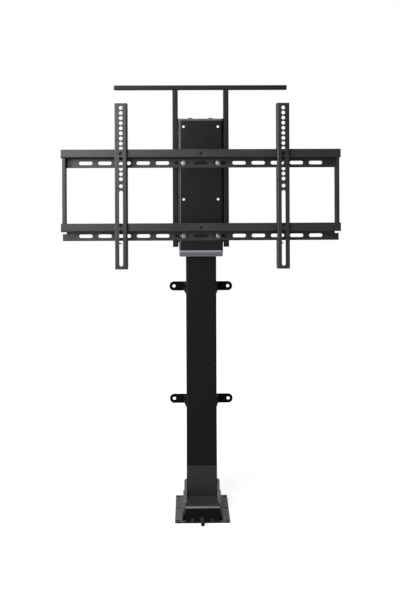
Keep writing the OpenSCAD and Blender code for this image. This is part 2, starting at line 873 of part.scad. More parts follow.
// Section of the worm: a core with one lobe for each thread start
module worm_section() {
    root_r = worm_pitch_d / 2 - gear_module;
    tip_r = worm_pitch_d / 2 + 0.8 * gear_module;
    half = 180 * tooth_w / worm_lead;
    span = 360 / worm_starts;
    flank = 1.5 * half;
    lobe = [[-flank, root_r], [-half / 2, tip_r], [0, tip_r], [half / 2, tip_r], [flank, root_r],
            [(flank + span / 2) / 2, root_r], [span / 2, root_r], [span - (flank + span / 2) / 2, root_r]];
    polygon([for (i = [0 : worm_starts - 1], p = lobe)
             p[1] * [cos(p[0] + i * span), sin(p[0] + i * span)]]);
}

// Worm on its shaft; its thread winds round Y
module worm_shaft() color(bare_steel) {
    steps_per_turn = 12;
    turns = worm_len / worm_lead;
    shaft_in_motor = 10;
    translate([worm_x, 0, axis_z]) {
        rod_y(worm_shaft_d, -motor_face - shaft_in_motor, -worm_len / 2);
        rod_y(worm_shaft_d, worm_len / 2, col_front - col_t - 1);
        rotate([-90, 0, 0])
            translate([0, 0, -worm_len / 2])
                linear_extrude(worm_len, twist = -360 * turns, slices = ceil(turns * steps_per_turn),
                               convexity = 6, $fn = 12)
                    rotate([0, 0, -180 * turns])
                        worm_section();
    }
}

module inner_column() color(column_black) {
    translate([0, 0, inner_low])
        linear_extrude(cap_low - inner_low)
            tube_section(inner_w, inner_d, inner_t, inner_r);
}

// Glide shoe round the inner column's foot
module glide_shoe() color(glide_white) {
    out_w = col_w - 2 * col_t - 2 * run_gap;
    out_d = col_d - 2 * col_t - 2 * run_gap;
    translate([0, 0, inner_low])
        linear_extrude(shoe_h)
            difference() {
                rounded_rect(out_w, out_d, max(col_r - col_t - run_gap, 1));
                rounded_rect(inner_w, inner_d, inner_r);
            }
}

// The space inside the inner column
module inner_space(h) {
    linear_extrude(h)
        rounded_rect(inner_w - 2 * inner_t, inner_d - 2 * inner_t, inner_r - inner_t);
}

module nut_plate() color(powder_grey) {
    translate([0, 0, inner_low])
        difference() {
            inner_space(nut_plate_t);
            translate([0, 0, -cut])
                cylinder(d = nut_d, h = nut_plate_t + 2 * cut);
        }
}

module drive_nut() color(brass) {
    translate([0, 0, inner_low])
        difference() {
            union() {
                cylinder(d = nut_d, h = nut_len);
                translate([0, 0, nut_plate_t])
                    cylinder(d = nut_flange_d, h = nut_flange_t);
            }
            translate([0, 0, -cut])
                cylinder(d = screw_d + 2 * shaft_play, h = nut_len + 2 * cut);
        }
}

// Block in the inner column's head that takes the cap bolts
module head_block() color(powder_grey) {
    translate([0, 0, cap_low - head_h])
        difference() {
            inner_space(head_h);
            for (x = [-1, 1])
                translate([x * cap_bolt_dx / 2, 0, -cut])
                    cylinder(d = cap_bolt_d, h = head_h + 2 * cut);
        }
}

module cap_plate() color(powder_black) {
    difference() {
        translate([0, 0, cap_low])
            linear_extrude(cap_t)
                hat_outline();
        for (x = [-1, 1])
            translate([x * cap_bolt_dx / 2, 0, cap_low - cut])
                cylinder(d = cap_bolt_d, h = cap_t + 2 * cut);
    }
}

// Outline of the cap plate: the carriage's section, filled
module hat_outline() {
    for (side = [0, 1])
        mirror([side, 0]) {
            rect([0, -car_front], [car_side - car_r, flange_face]);
            rect([0, car_r - car_front], [car_side, car_back]);
            translate([car_side - car_r, car_r - car_front])
                circle(car_r);
        }
}

module cap_bolts() color(bare_steel) {
    for (x = [-1, 1])
        translate([x * cap_bolt_dx / 2, 0, 0]) {
            translate([0, 0, cap_low - head_h])
                cylinder(d = cap_bolt_d, h = head_h + cap_t);
            translate([0, 0, car_top])
                cylinder(d = cap_bolt_af / cos(30), h = cap_bolt_head, $fn = 6);
        }
}

// Section of the carriage: front, two sides, two rear flanges that turn outwards
module hat_section() {
    for (side = [0, 1])
        mirror([side, 0]) {
            rect([0, -car_front], [car_side - car_r, car_t - car_front]);
            bend(car_side, -car_front, -1, 1, car_t, car_r);
            rect([car_side - car_t, car_r - car_front], [car_side, car_back - car_r]);
            bend(car_side - car_t, car_back, 1, -1, car_t, car_r);
            rect([car_side - car_t + car_r, flange_face], [car_side + car_flange, car_back]);
        }
}

module carriage() color(powder_black) {
    difference() {
        translate([0, 0, car_low])
            linear_extrude(cap_low + car_flange_rise - car_low)
                hat_section();
        block([-car_side, -car_front - cut, cap_low],
              [car_side, car_back + cut, cap_low + car_flange_rise + cut]);
        for (side = [-1, 1])
            on_side(side)
                along_y(flange_face - car_r, car_back + cut)
                    polygon([[car_side, car_low - cut], [car_side + car_flange + cut, car_low - cut],
                             [car_side + car_flange + cut, car_low + car_flange_up + car_flange_slant],
                             [car_side, car_low + car_flange_up]]);
        for (x = [-1, 1], row = [0 : 3])
            translate([x * car_hole_x, 0, car_hole_z + row * car_hole_pitch])
                rod_y(car_hole_d, -car_front - cut, car_t - car_front + cut);
    }
}

// Collar under the carriage: a C round the outer column with a rim and a lower band
module collar() color(collar_grey) {
    gap_x = col_w / 2 + run_gap;
    gap_y = col_front + run_gap;
    band_side = car_side - collar_step;
    band_front = car_front - collar_step;
    difference() {
        union() {
            translate([0, 0, car_low - collar_rim])
                linear_extrude(collar_rim) {
                    rect([car_r - car_side, -car_front], [car_side - car_r, collar_back]);
                    rect([-car_side, car_r - car_front], [car_side, collar_back]);
                    for (x = [-1, 1])
                        translate([x * (car_side - car_r), car_r - car_front])
                            circle(car_r);
                }
            along_y(-band_front, collar_back) {
                rect([-band_side, car_low - collar_rim], [band_side, car_low - collar_h + collar_r]);
                rect([collar_r - band_side, car_low - collar_rim], [band_side - collar_r, car_low - collar_h]);
                for (x = [-1, 1])
                    translate([x * (band_side - collar_r), car_low - collar_h + collar_r])
                        circle(collar_r);
            }
        }
        block([-gap_x, -gap_y, car_low - collar_h - cut], [gap_x, collar_back + cut, car_low + cut]);
    }
}

// Section of a rail round its slots' centre line: web, ledge and band
module rail_section() {
    rect([-web_face, -web_low], [-web_back, ledge_up - rail_r]);
    bend(-web_back, ledge_up, -1, -1, rail_t, rail_r);
    rect([-web_back - rail_r, ledge_low], [-band_face + rail_r, ledge_up]);
    bend(-band_face, ledge_low, 1, 1, rail_t, rail_r);
    rect([-band_face, ledge_low + rail_r], [-band_back, band_up]);
}

// A long round-ended opening along X through a sheet between two planes of Y
module slot_cut(len, h, y0, y1) {
    for (end = [-1, 1])
        translate([end * (len - h) / 2, 0, 0])
            rod_y(h, y0, y1);
    block([(h - len) / 2, y0, -h / 2], [(len - h) / 2, y1, h / 2]);
}

module rail(z) {
    translate([0, 0, z])
        difference() {
            along_x(-rail_len / 2, rail_len / 2)
                rail_section();
            for (i = [0 : slot_n - 1])
                translate([(i - (slot_n - 1) / 2) * slot_pitch, 0, 0])
                    slot_cut(slot_len, slot_h, -web_face - cut, -web_back + cut);
            rod_band_hole();
            for (side = [-1, 1])
                on_side(side)
                    block([rail_len / 2 - end_notch_len, -web_face - cut, ledge_low - end_notch_h],
                          [rail_len / 2 + cut, -web_back + cut, ledge_low]);
        }
}

// The hole in the middle of a rail's band
module rod_band_hole() {
    translate([0, 0, (band_up + ledge_low) / 2])
        rod_y(band_hole_d, -band_face - cut, -band_back + cut);
}

module upper_rail() color(powder_black) rail(upper_rail_z);
module lower_rail() color(powder_black) rail(lower_rail_z);

// Flat bar between the rails' ledges, with a foot on the upper rail's web
module end_bar() {
    x1 = rail_len / 2 - end_bar_inset;
    y1 = -(web_face + band_back - end_bar_d) / 2;
    block([x1 - end_bar_w, y1 - end_bar_d, lower_rail_z + ledge_up], [x1, y1, upper_rail_z + ledge_low]);
    block([x1 - end_bar_w - end_foot, -web_face - rail_t, upper_rail_z - web_low],
          [x1, -web_face, upper_rail_z + ledge_low]);
}

module left_end_bar() color(powder_black) on_side(-1) end_bar();
module right_end_bar() color(powder_black) on_side(1) end_bar();

// Pan head bolts that hold the rails to the carriage, with a washer and a cross recess
module rail_bolts() color(bare_steel) {
    recess = rail_bolt_head * 0.12;
    recess_len = rail_bolt_head * 0.55;
    crown = rail_bolt_head_h * 0.45;
    bolt_end = car_front - car_t - rail_nut_h - rail_bolt_out;
    for (x = [-1, 1], z = [lower_rail_z, upper_rail_z])
        translate([x * car_hole_x, -web_face, z]) {
            rod_y(rail_washer_d, -rail_washer_t, 0);
            rod_y(rail_bolt_d, 0, web_face - bolt_end);
            difference() {
                union() {
                    rod_y(rail_bolt_head, crown - rail_washer_t - rail_bolt_head_h, -rail_washer_t);
                    translate([0, crown - rail_washer_t - rail_bolt_head_h, 0])
                        rotate([90, 0, 0])
                            cylinder(d1 = rail_bolt_head, d2 = rail_bolt_head * 0.7, h = crown);
                }
                for (turn = [0, 90])
                    rotate([0, turn + 45, 0])
                        translate([0, -rail_washer_t - rail_bolt_head_h, 0])
                            cube([recess_len, rail_bolt_head_h, recess], center = true);
            }
        }
}

module rail_nuts() color(bare_steel) {
    for (x = [-1, 1], z = [lower_rail_z, upper_rail_z])
        translate([x * car_hole_x, -car_front + car_t, z])
            rotate([-90, 0, 0])
                difference() {
                    cylinder(d = rail_nut_af / cos(30), h = rail_nut_h, $fn = 6);
                    translate([0, 0, -cut])
                        cylinder(d = rail_bolt_d, h = rail_nut_h + 2 * cut);
                }
}

// Clamps stand behind the rails, between the web's lower edge and the band's top
upper_clamp_z = upper_rail_z + (band_up - web_low - clamp_h) / 2;
lower_clamp_z = lower_rail_z + (band_up - web_low - clamp_h) / 2 - 1.5;
clamp_in = post_x - post_side / 2 - run_gap;
clamp_out = post_x + post_side / 2 + run_gap;
clamp_front = post_back - post_side - run_gap;
clamp_back = post_back + run_gap;

// Strap round a post, welded to the carriage's side wall, with a threaded hole on its outer side
module clamp(z) {
    translate([0, 0, z])
        difference() {
            linear_extrude(clamp_h)
                difference() {
                    rect([car_side, clamp_front - clamp_t], [clamp_out + clamp_t, clamp_back + clamp_t]);
                    rect([clamp_in, clamp_front], [clamp_out, clamp_back]);
                }
            translate([0, post_y, clamp_h / 2])
                rod_x(clamp_screw_d, clamp_out - cut, clamp_out + clamp_t + cut);
        }
}

module left_upper_clamp() color(powder_black) on_side(-1) clamp(upper_clamp_z);
module left_lower_clamp() color(powder_black) on_side(-1) clamp(lower_clamp_z);
module right_upper_clamp() color(powder_black) on_side(1) clamp(upper_clamp_z);
module right_lower_clamp() color(powder_black) on_side(1) clamp(lower_clamp_z);

module clamp_screws() color(bare_steel) {
    for (side = [-1, 1], z = [upper_clamp_z, lower_clamp_z])
        on_side(side)
            translate([0, post_y, z + clamp_h / 2]) {
                rod_x(clamp_screw_d, clamp_out - run_gap / 2, clamp_out + clamp_t);
                rod_x(clamp_head_d, clamp_out + clamp_t, clamp_out + clamp_t + clamp_head_h);
            }
}

module lid_bar() color(powder_black) {
    translate([0, post_y, bar_top - bar_h / 2])
        along_x(tube_cap_t - bar_len / 2, bar_len / 2 - tube_cap_t)
            tube_section(bar_d, bar_h, bar_t, bar_r);
}

module post(x) {
    translate([x, post_y, post_low + tube_cap_t])
        linear_extrude(post_top - post_low - tube_cap_t)
            tube_section(post_side, post_side, bar_t, bar_r);
}

module left_post() color(powder_black) post(-post_x);
module right_post() color(powder_black) post(post_x);

module post_caps() color(case_black) {
    plug = post_side - 2 * bar_t;
    for (x = [-1, 1])
        translate([x * post_x, post_y, post_low]) {
            linear_extrude(tube_cap_t)
                rounded_rect(post_side, post_side, bar_r);
            translate([0, 0, tube_cap_t])
                linear_extrude(tube_plug)
                    rounded_rect(plug, plug, bar_r - bar_t);
        }
}

module bar_caps() color(case_black) {
    for (side = [-1, 1])
        on_side(side)
            translate([0, post_y, bar_top - bar_h / 2]) {
                along_x(bar_len / 2 - tube_cap_t, bar_len / 2)
                    rounded_rect(bar_d, bar_h, bar_r);
                along_x(bar_len / 2 - tube_cap_t - tube_plug, bar_len / 2 - tube_cap_t)
                    rounded_rect(bar_d - 2 * bar_t, bar_h - 2 * bar_t, bar_r - bar_t);
            }
}

// Section of an arm: front plate and two flanges to the back
module arm_section() {
    for (side = [0, 1])
        mirror([side, 0]) {
            rect([0, -arm_face], [arm_w / 2 - arm_r, arm_t - arm_face]);
            bend(arm_w / 2, -arm_face, -1, 1, arm_t, arm_r);
            rect([arm_w / 2 - arm_t, arm_r - arm_face], [arm_w / 2, -arm_back]);
        }
}

lock_z = lower_rail_z - lock_down;
lock_y = -arm_face + lock_back;

// Screen arm: U channel whose flanges hook over both bands
module arm(x) {
    first_hole = arm_top - arm_hole_top;
    hole_depths = [for (i = [0 : arm_hole_n - 1]) i * arm_hole_pitch];
    translate([x, 0, 0])
        difference() {
            translate([0, 0, arm_top - arm_len])
                linear_extrude(arm_len)
                    arm_section();
            for (drop = concat(hole_depths, [arm_single_hole]))
                translate([0, 0, first_hole - drop])
                    rod_y(arm_hole_d, -arm_face - cut, arm_t - arm_face + cut);
            for (ends = [arm_slot_1, arm_slot_2]) {
                for (drop = ends)
                    translate([0, 0, first_hole - drop])
                        rod_y(arm_hole_d, -arm_face - cut, arm_t - arm_face + cut);
                block([-arm_hole_d / 2, -arm_face - cut, first_hole - ends[1]],
                      [arm_hole_d / 2, arm_t - arm_face + cut, first_hole - ends[0]]);
            }
            for (z = [upper_rail_z, lower_rail_z]) {
                block([-arm_w / 2 - cut, -band_face - hook_gap, z + ledge_low - hook_drop - hook_tip],
                      [arm_w / 2 + cut, -band_back + hook_gap, z + band_up + hook_gap]);
                block([-arm_w / 2 - cut, -band_face - hook_gap, z + ledge_low - hook_drop - hook_tip],
                      [arm_w / 2 + cut, -arm_back + cut, z + ledge_up + hook_tip]);
            }
            translate([0, lock_y, lock_z])
                rod_x(lock_d, -arm_w / 2 - cut, cut - arm_w / 2 + arm_t);
        }
}

// Latch plate inside an arm's left flange that stops the arm lifting off the lower rail
module latch(x) {
    x0 = x - arm_w / 2 + arm_t;
    difference() {
        block([x0, lock_y - latch_w / 2 + latch_set, lock_z - lock_d * 1.4],
              [x0 + latch_t, lock_y + latch_w / 2 + latch_set, lower_rail_z + ledge_low - latch_gap]);
        translate([0, lock_y, lock_z])
            rod_x(lock_d, x0 - cut, x0 + latch_t + cut);
    }
}

// Headless lock screw, flush with its arm's left face, with a six-sided socket
module lock_screw(x) {
    x0 = x - arm_w / 2;
    translate([0, lock_y, lock_z])
        difference() {
            rod_x(lock_d, x0, x0 + lock_len);
            translate([x0 - cut, 0, 0])
                rotate([0, 90, 0])
                    cylinder(d = lock_socket / cos(30), h = lock_socket + cut, $fn = 6);
        }
}

module left_arm() color(powder_black) arm(-left_arm_x);
module left_latch() color(powder_black) latch(-left_arm_x);
module left_lock_screw() color(case_black) lock_screw(-left_arm_x);
module right_arm() color(powder_black) arm(right_arm_x);
module right_latch() color(powder_black) latch(right_arm_x);
module right_lock_screw() color(case_black) lock_screw(right_arm_x);

base_plate();
left_gusset();
right_gusset();
front_brace();
gear_case();
case_screws();
cable_gland();
outer_column();
column_guide();
upper_left_ear();
upper_right_ear();
lower_left_ear();
lower_right_ear();
ear_screws();
drive_motor();
sensor_board();
motor_bracket();
gear_frame();
screw_bearing();
bearing_bridge();
lead_screw();
worm_wheel();
worm_shaft();
inner_column();
glide_shoe();
nut_plate();
drive_nut();
head_block();
cap_plate();
cap_bolts();
carriage();
collar();
upper_rail();
lower_rail();
left_end_bar();
right_end_bar();
rail_bolts();
rail_nuts();
left_upper_clamp();
left_lower_clamp();
right_upper_clamp();
right_lower_clamp();
clamp_screws();
lid_bar();
left_post();
right_post();
post_caps();
bar_caps();
left_arm();
left_latch();
left_lock_screw();
right_arm();
right_latch();
right_lock_screw();
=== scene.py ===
"""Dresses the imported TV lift: real finishes, softened sheet edges, turned fasteners, studio and camera."""

from __future__ import annotations

import json
import logging
import math
from dataclasses import dataclass, field
from enum import Enum
from typing import Callable, Iterable

import bmesh
import bpy
from mathutils import Matrix, Vector

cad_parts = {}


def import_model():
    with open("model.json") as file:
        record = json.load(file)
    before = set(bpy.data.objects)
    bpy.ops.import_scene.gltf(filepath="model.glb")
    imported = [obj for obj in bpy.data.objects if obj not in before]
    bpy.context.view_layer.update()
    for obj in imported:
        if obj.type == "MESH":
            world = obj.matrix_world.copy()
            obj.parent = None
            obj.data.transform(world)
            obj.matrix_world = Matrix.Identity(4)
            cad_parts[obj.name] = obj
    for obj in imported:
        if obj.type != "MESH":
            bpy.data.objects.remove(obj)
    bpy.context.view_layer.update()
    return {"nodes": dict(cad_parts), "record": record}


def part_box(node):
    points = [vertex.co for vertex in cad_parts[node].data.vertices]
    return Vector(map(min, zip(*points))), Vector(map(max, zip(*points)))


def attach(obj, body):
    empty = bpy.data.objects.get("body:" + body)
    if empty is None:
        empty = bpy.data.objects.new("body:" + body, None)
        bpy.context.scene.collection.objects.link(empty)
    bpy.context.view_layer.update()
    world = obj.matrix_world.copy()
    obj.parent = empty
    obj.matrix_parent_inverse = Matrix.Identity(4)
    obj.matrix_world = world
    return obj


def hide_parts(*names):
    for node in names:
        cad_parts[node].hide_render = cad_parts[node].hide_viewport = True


LOG = logging.getLogger("tv_lift")
MM = 0.001
WHITE = "#ffffff"
# Mix and Random Value nodes repeat a socket's name for each kind of data, so these go by number.
MIX_COLOUR_A, MIX_COLOUR_B, MIX_COLOUR_OUT = 6, 7, 2
MIX_NUMBER_A, MIX_NUMBER_B, MIX_NUMBER_OUT = 2, 3, 0
RANDOM_LEAST, RANDOM_MOST, RANDOM_OUT = 2, 3, 1


class Side(Enum):
    """The two sides of the lift, as the camera sees them from the front."""

    LEFT = "left"
    RIGHT = "right"


class Drive(Enum):
    """How a fastener's head takes its tool."""

    CROSS = "cross"
    HEX_SOCKET = "hex socket"
    HEX_HEAD = "hex head"


def linear(code: str) -> tuple[float, float, float, float]:
    """Turns an sRGB hex colour into linear light.

    Args:
        code: a colour such as "#808080".

    Returns:
        Red, green, blue and an alpha of 1.
    """
    parts = [int(code[i:i + 2], 16) / 255 for i in (1, 3, 5)]
    light = [c / 12.92 if c <= 0.04045 else ((c + 0.055) / 1.055) ** 2.4 for c in parts]
    return light[0], light[1], light[2], 1.0


def add_node(tree: bpy.types.NodeTree, kind: str, settings: dict | None = None,
             inputs: dict | None = None) -> bpy.types.Node:
    """Adds a node with its settings, and fills or links its inputs.

    Args:
        tree: the node tree that gets the node.
        kind: the node's type name.
        settings: properties to set on the node.
        inputs: values or output sockets, by input name or number.

    Returns:
        The new node.
    """
    node = tree.nodes.new(kind)
    for name, value in (settings or {}).items():
        setattr(node, name, value)
    for key, value in (inputs or {}).items():
        if isinstance(value, bpy.types.NodeSocket):
            tree.links.new(value, node.inputs[key])
        else:
            node.inputs[key].default_value = value
    return node


def grain_scale(size_mm: float) -> float:
    """The texture scale that gives a pattern of this size, for coordinates in metres."""
    return 1 / (size_mm * MM)


@dataclass(frozen=True)
class Finish:
    """A surface finish: its colours, gloss and the patterns that its making leaves."""

    name: str
    colour: str
    fleck: str
    roughness: float
    roughness_spread: float = 0.06
    metallic: float = 0.0
    specular: float = 0.5
    grain_mm: float = 1.4
    grain_depth_mm: float = 0.03
    grain_detail: float = 3.0
    grain_roughness: float = 0.6
    cloud_mm: float = 60.0
    cloud_detail: float = 2.0
    cloud_span: tuple[float, float] = (0.3, 0.7)
    fleck_share: float = 0.5
    fleck_contrast: float = 0.25
    stretch: tuple[float, float, float] = (1.0, 1.0, 1.0)

    def make(self) -> bpy.types.Material:
        """Builds the material's node tree.

        Returns:
            A material that reads Object coordinates in metres.
        """
        material = bpy.data.materials.new(self.name)
        material.use_nodes = True
        tree = material.node_tree
        tree.nodes.clear()
        place = add_node(tree, "ShaderNodeTexCoord")
        turned = add_node(tree, "ShaderNodeMapping", inputs={"Vector": place.outputs["Object"],
                                                            "Scale": self.stretch})
        grain = add_node(tree, "ShaderNodeTexNoise", inputs={
            "Vector": turned.outputs["Vector"], "Scale": grain_scale(self.grain_mm),
            "Detail": self.grain_detail, "Roughness": self.grain_roughness})
        cloud = add_node(tree, "ShaderNodeTexNoise", inputs={
            "Vector": turned.outputs["Vector"], "Scale": grain_scale(self.cloud_mm),
            "Detail": self.cloud_detail})
        share = add_node(tree, "ShaderNodeMapRange", inputs={
            "Value": grain.outputs["Fac"], "From Min": self.fleck_share - self.fleck_contrast / 2,
            "From Max": self.fleck_share + self.fleck_contrast / 2})
        colour = add_node(tree, "ShaderNodeMix", {"data_type": "RGBA"}, {
            "Factor": share.outputs["Result"], MIX_COLOUR_A: linear(self.colour),
            MIX_COLOUR_B: linear(self.fleck)})
        gloss = add_node(tree, "ShaderNodeMapRange", inputs={
            "Value": cloud.outputs["Fac"], "From Min": self.cloud_span[0], "From Max": self.cloud_span[1],
            "To Min": self.roughness - self.roughness_spread,
            "To Max": self.roughness + self.roughness_spread})
        bump = add_node(tree, "ShaderNodeBump", inputs={
            "Height": grain.outputs["Fac"], "Distance": self.grain_depth_mm * MM, "Strength": 1.0})
        surface = add_node(tree, "ShaderNodeBsdfPrincipled", inputs={
            "Base Color": colour.outputs[MIX_COLOUR_OUT], "Roughness": gloss.outputs["Result"],
            "Normal": bump.outputs["Normal"], "Metallic": self.metallic, "Specular IOR Level": self.specular})
        add_node(tree, "ShaderNodeOutputMaterial", inputs={"Surface": surface.outputs["BSDF"]})
        return material


# Charcoal polyester powder coat, sprayed and baked on folded steel: a fine orange peel whose peaks
# catch the light as flecks. The real peel is under 0.5 mm, drawn coarser so that it shows.
RAIL_COAT = Finish("charcoal_powder_coat_sprayed", "#19161a", "#242125", 0.4, grain_mm=2.4,
                   grain_depth_mm=0.06, fleck_contrast=0.3)
# The same coat on the lid bar and its posts, laid thinner on the smooth tube.
LID_COAT = Finish("black_powder_coat_thin", "#120e13", "#19151a", 0.4, grain_mm=2.4, grain_depth_mm=0.04,
                  specular=0.22)
# The same coat on the carriage, a shade darker and smoother.
CARRIAGE_COAT = Finish("black_powder_coat_sprayed", "#110c11", "#161116", 0.29, grain_mm=2.0,
                       grain_depth_mm=0.02, roughness_spread=0.005, specular=0.3)
# The carriage's left fold: a paler coat, a painted highlight, so that a light line runs down it.
LEFT_FOLD_PAINTED_HIGHLIGHT = Finish("black_powder_coat_rubbed_fold", "#4a454a", "#524d52", 0.3, grain_mm=2.0,
                   grain_depth_mm=0.02, roughness_spread=0.02, specular=0.45)
# The wall ears' dry, dull black coat. On the rails' undersides and the carriage's left wall the same dark
# coat is painted shade.
DRY_COAT_AND_PAINTED_SHADE = Finish("black_powder_coat_dry", "#0c090c", "#110e11", 0.7, grain_mm=2.0, grain_depth_mm=0.03,
                   specular=0.05)
# Charcoal powder coat on the front brace, rolled smooth by the fold's tool.
BRACE_COAT = Finish("charcoal_powder_coat_smooth", "#242124", "#2b282b", 0.5, grain_mm=2.0,
                    grain_depth_mm=0.03, specular=0.35)
# Dark grey powder coat on the base plate, the gussets, the cap plate and the drive's brackets, with a coarse
# speckle. On the cap plate its pale grey is in part a painted highlight along the front edge.
BASE_COAT = Finish("grey_powder_coat_speckled", "#434344", "#626263", 0.6, grain_mm=2.6, grain_depth_mm=0.08,
                   fleck_contrast=0.22, specular=0.3)
# Satin black paint on the rolled column: almost even, with slow clouds in its gloss.
COLUMN_PAINT = Finish("satin_black_paint_rolled_steel", "#0e0b0f", "#120f13", 0.42, grain_mm=3.0,
                      roughness_spread=0.03, grain_depth_mm=0.01, specular=0.14)
# Black ABS from a spark-eroded mould: a faint stipple and a soft sheen.
CASE_PLASTIC = Finish("black_abs_moulded", "#0c0a0c", "#110f11", 0.52, grain_mm=1.2, grain_depth_mm=0.02,
                      specular=0.1)
# The case's sloped lip: a pale grey that is a painted highlight from the light above; even, with a satin
# gloss.
LIP_PAINTED_HIGHLIGHT = Finish("grey_paint_rolled_on_abs", "#414143", "#4d4d4f", 0.45, grain_mm=1.6, grain_depth_mm=0.02)
# Grey satin moulding of the collar's band, slightly cool.
COLLAR_PLASTIC = Finish("grey_nylon_moulded", "#54565b", "#626469", 0.45, grain_mm=1.6, grain_depth_mm=0.015,
                        specular=0.4)
# The collar's rim, where the carriage sits in it: a pale colour, a painted highlight along the collar's top,
# and smooth.
RIM_PAINTED_HIGHLIGHT = Finish("grey_nylon_rubbed", "#878a8f", "#989ba0", 0.34, grain_mm=1.6, grain_depth_mm=0.01)
# Black nylon of the cable gland, moulded smooth: a soft light along its top.
GLAND_NYLON = Finish("black_nylon_moulded", "#201e20", "#2a282a", 0.38, grain_mm=1.2, grain_depth_mm=0.015)
# Cut edges and hole walls of the base plate: a dark, dull colour, painted shade in the holes and on the front
# edge.
PLATE_EDGES_PAINTED_SHADE = Finish("hot_rolled_steel_punched", "#161514", "#22201f", 0.6, grain_mm=1.0,
                       grain_depth_mm=0.02, specular=0.15)
# Zinc plate gone dull on the case screws.
DULL_ZINC = Finish("zinc_plate_dulled", "#4f4c48", "#5b5854", 0.42, metallic=1.0, grain_mm=0.8,
                   grain_depth_mm=0.006)
# Nickel plated steel of the bolts: bright, a little warm, with a faint mottle from handling.
NICKEL = Finish("nickel_plate_on_steel", "#a0978a", "#b5ada0", 0.34, metallic=1.0, grain_mm=0.8,
                grain_depth_mm=0.004)
# Turned bright steel of the shafts and the screw: fine rings from the lathe.
TURNED_STEEL = Finish("bright_steel_turned", "#a9aaac", "#bfc0c2", 0.3, metallic=1.0, grain_mm=1.0,
                      grain_depth_mm=0.006, stretch=(0.2, 0.2, 1.0))
# Black oxide on small screws: dark, with a blue-grey sheen.
BLACK_OXIDE = Finish("black_oxide_on_steel", "#1b1c1e", "#2a2b2e", 0.38, metallic=0.6, grain_mm=0.9,
                     grain_depth_mm=0.006)
# Cast bronze of the wheel and the nut, machined on its faces.
BRONZE = Finish("bearing_bronze_machined", "#a07a3c", "#b58d4c", 0.35, metallic=1.0, grain_mm=1.0,
                grain_depth_mm=0.008)
# Natural acetal of the glide shoe: milky and even.
ACETAL = Finish("natural_acetal_moulded", "#dcdad2", "#e4e2da", 0.4, grain_mm=2.0, grain_depth_mm=0.01)
# Glass-fibre circuit board under green lacquer: a faint mottle where the fibres show through.
BOARD = Finish("circuit_board_lacquered", "#1c5a30", "#246a3a", 0.35, grain_mm=0.8, grain_depth_mm=0.01)


@dataclass
class Workshop:
    """What every sub-assembly needs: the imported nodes, which body each is in, the finishes made so far.

    An edge that turns by more than fold_deg is rounded; faces that differ by less than flat_deg are joined.
    """

    nodes: dict[str, bpy.types.Object]
    body_of: dict[str, str]
    slot_of: dict[str, str]
    made: dict[str, bpy.types.Material] = field(default_factory=dict)
    merge_mm: float = 0.001
    flat_deg: float = 0.4
    fold_deg: float = 35.0
    edge_steps: int = 2
    flat_weight: int = 100

    def material(self, finish: Finish) -> bpy.types.Material:
        """The material of a finish, made once.

        Args:
            finish: the finish.

        Returns:
            Its material.
        """
        if finish.name not in self.made:
            self.made[finish.name] = finish.make()
        return self.made[finish.name]

    def paint(self, names: Iterable[str], finish: Finish) -> None:
        """Gives CAD nodes that keep their own shape a finish.

        Args:
            names: the nodes.
            finish: what covers them.
        """
        material = self.material(finish)
        for name in names:
            mesh = self.nodes[name].data
            if mesh.materials:
                mesh.materials[0] = material
            else:
                mesh.materials.append(material)
            LOG.info("painted %s with %s", name, finish.name)

    def settle(self, piece: bpy.types.Object, replaced: str, finish: Finish) -> None:
        """Puts a new piece in the place of a CAD node, on its body and in its material slot.

        Args:
            piece: the finished mesh object, at the origin.
            replaced: the CAD node that it stands for.
            finish: what covers it.
        """
        piece.data.materials.clear()
        piece.data.materials.append(self.material(finish))
        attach(piece, self.body_of[replaced])
        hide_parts(replaced)
        LOG.info("%s stands for %s: %d faces", piece.name, replaced, len(piece.data.polygons))

    def soften(self, name: str, finish: Finish, edge_mm: float) -> bpy.types.Object:
        """Replaces a node by a copy whose sharp edges are rounded, as a deburred and coated sheet has them.

        Args:
            name: the CAD node.
            finish: what covers the copy.
            edge_mm: the rounding's width.

        Returns:
            The new piece.
        """
        mesh = self.nodes[name].data.copy()
        shape = bmesh.new()
        shape.from_mesh(mesh)
        bmesh.ops.remove_doubles(shape, verts=shape.verts, dist=self.merge_mm * MM)
        bmesh.ops.dissolve_limit(shape, angle_limit=math.radians(self.flat_deg), verts=shape.verts,
                                 edges=shape.edges)
        shape.to_mesh(mesh)
        shape.free()
        mesh.shade_smooth()
        raw = bpy.data.objects.new(f"{name}_raw", mesh)
        bpy.context.scene.collection.objects.link(raw)
        bevel = raw.modifiers.new("edges", "BEVEL")
        bevel.width = edge_mm * MM
        bevel.segments = self.edge_steps
        bevel.limit_method = "ANGLE"
        bevel.angle_limit = math.radians(self.fold_deg)
        flats = raw.modifiers.new("flats", "WEIGHTED_NORMAL")
        flats.mode = "FACE_AREA"
        flats.weight = self.flat_weight
        return self.settle_evaluated(raw, f"{name}_softened", name, finish)

    def accent(self, piece: bpy.types.Object, finish: Finish,
               picks: Callable[[bpy.types.MeshPolygon], bool]) -> None:
        """Gives some faces of a settled piece another finish.

        Args:
            piece: the piece.
            finish: what covers those faces.
            picks: tells whether a face is one of them.
        """
        slot = len(piece.data.materials)
        piece.data.materials.append(self.material(finish))
        for face in piece.data.polygons:
            if picks(face):
                face.material_index = slot

    def settle_evaluated(self, raw: bpy.types.Object, new_name: str, replaced: str,
                         finish: Finish) -> bpy.types.Object:
        """Turns an object with modifiers into a plain mesh piece and settles it.

        Args:
            raw: the object whose modifiers are applied; it is removed.
            new_name: the piece's name.
            replaced: the CAD node that it stands for.
            finish: what covers it.

        Returns:
            The new piece.
        """
        bpy.context.view_layer.update()
        evaluated = raw.evaluated_get(bpy.context.evaluated_depsgraph_get())
        mesh = bpy.data.meshes.new_from_object(evaluated)
        mesh.name = new_name
        piece = bpy.data.objects.new(new_name, mesh)
        bpy.context.scene.collection.objects.link(piece)
        bpy.data.objects.remove(raw)
        self.settle(piece, replaced, finish)
        return piece


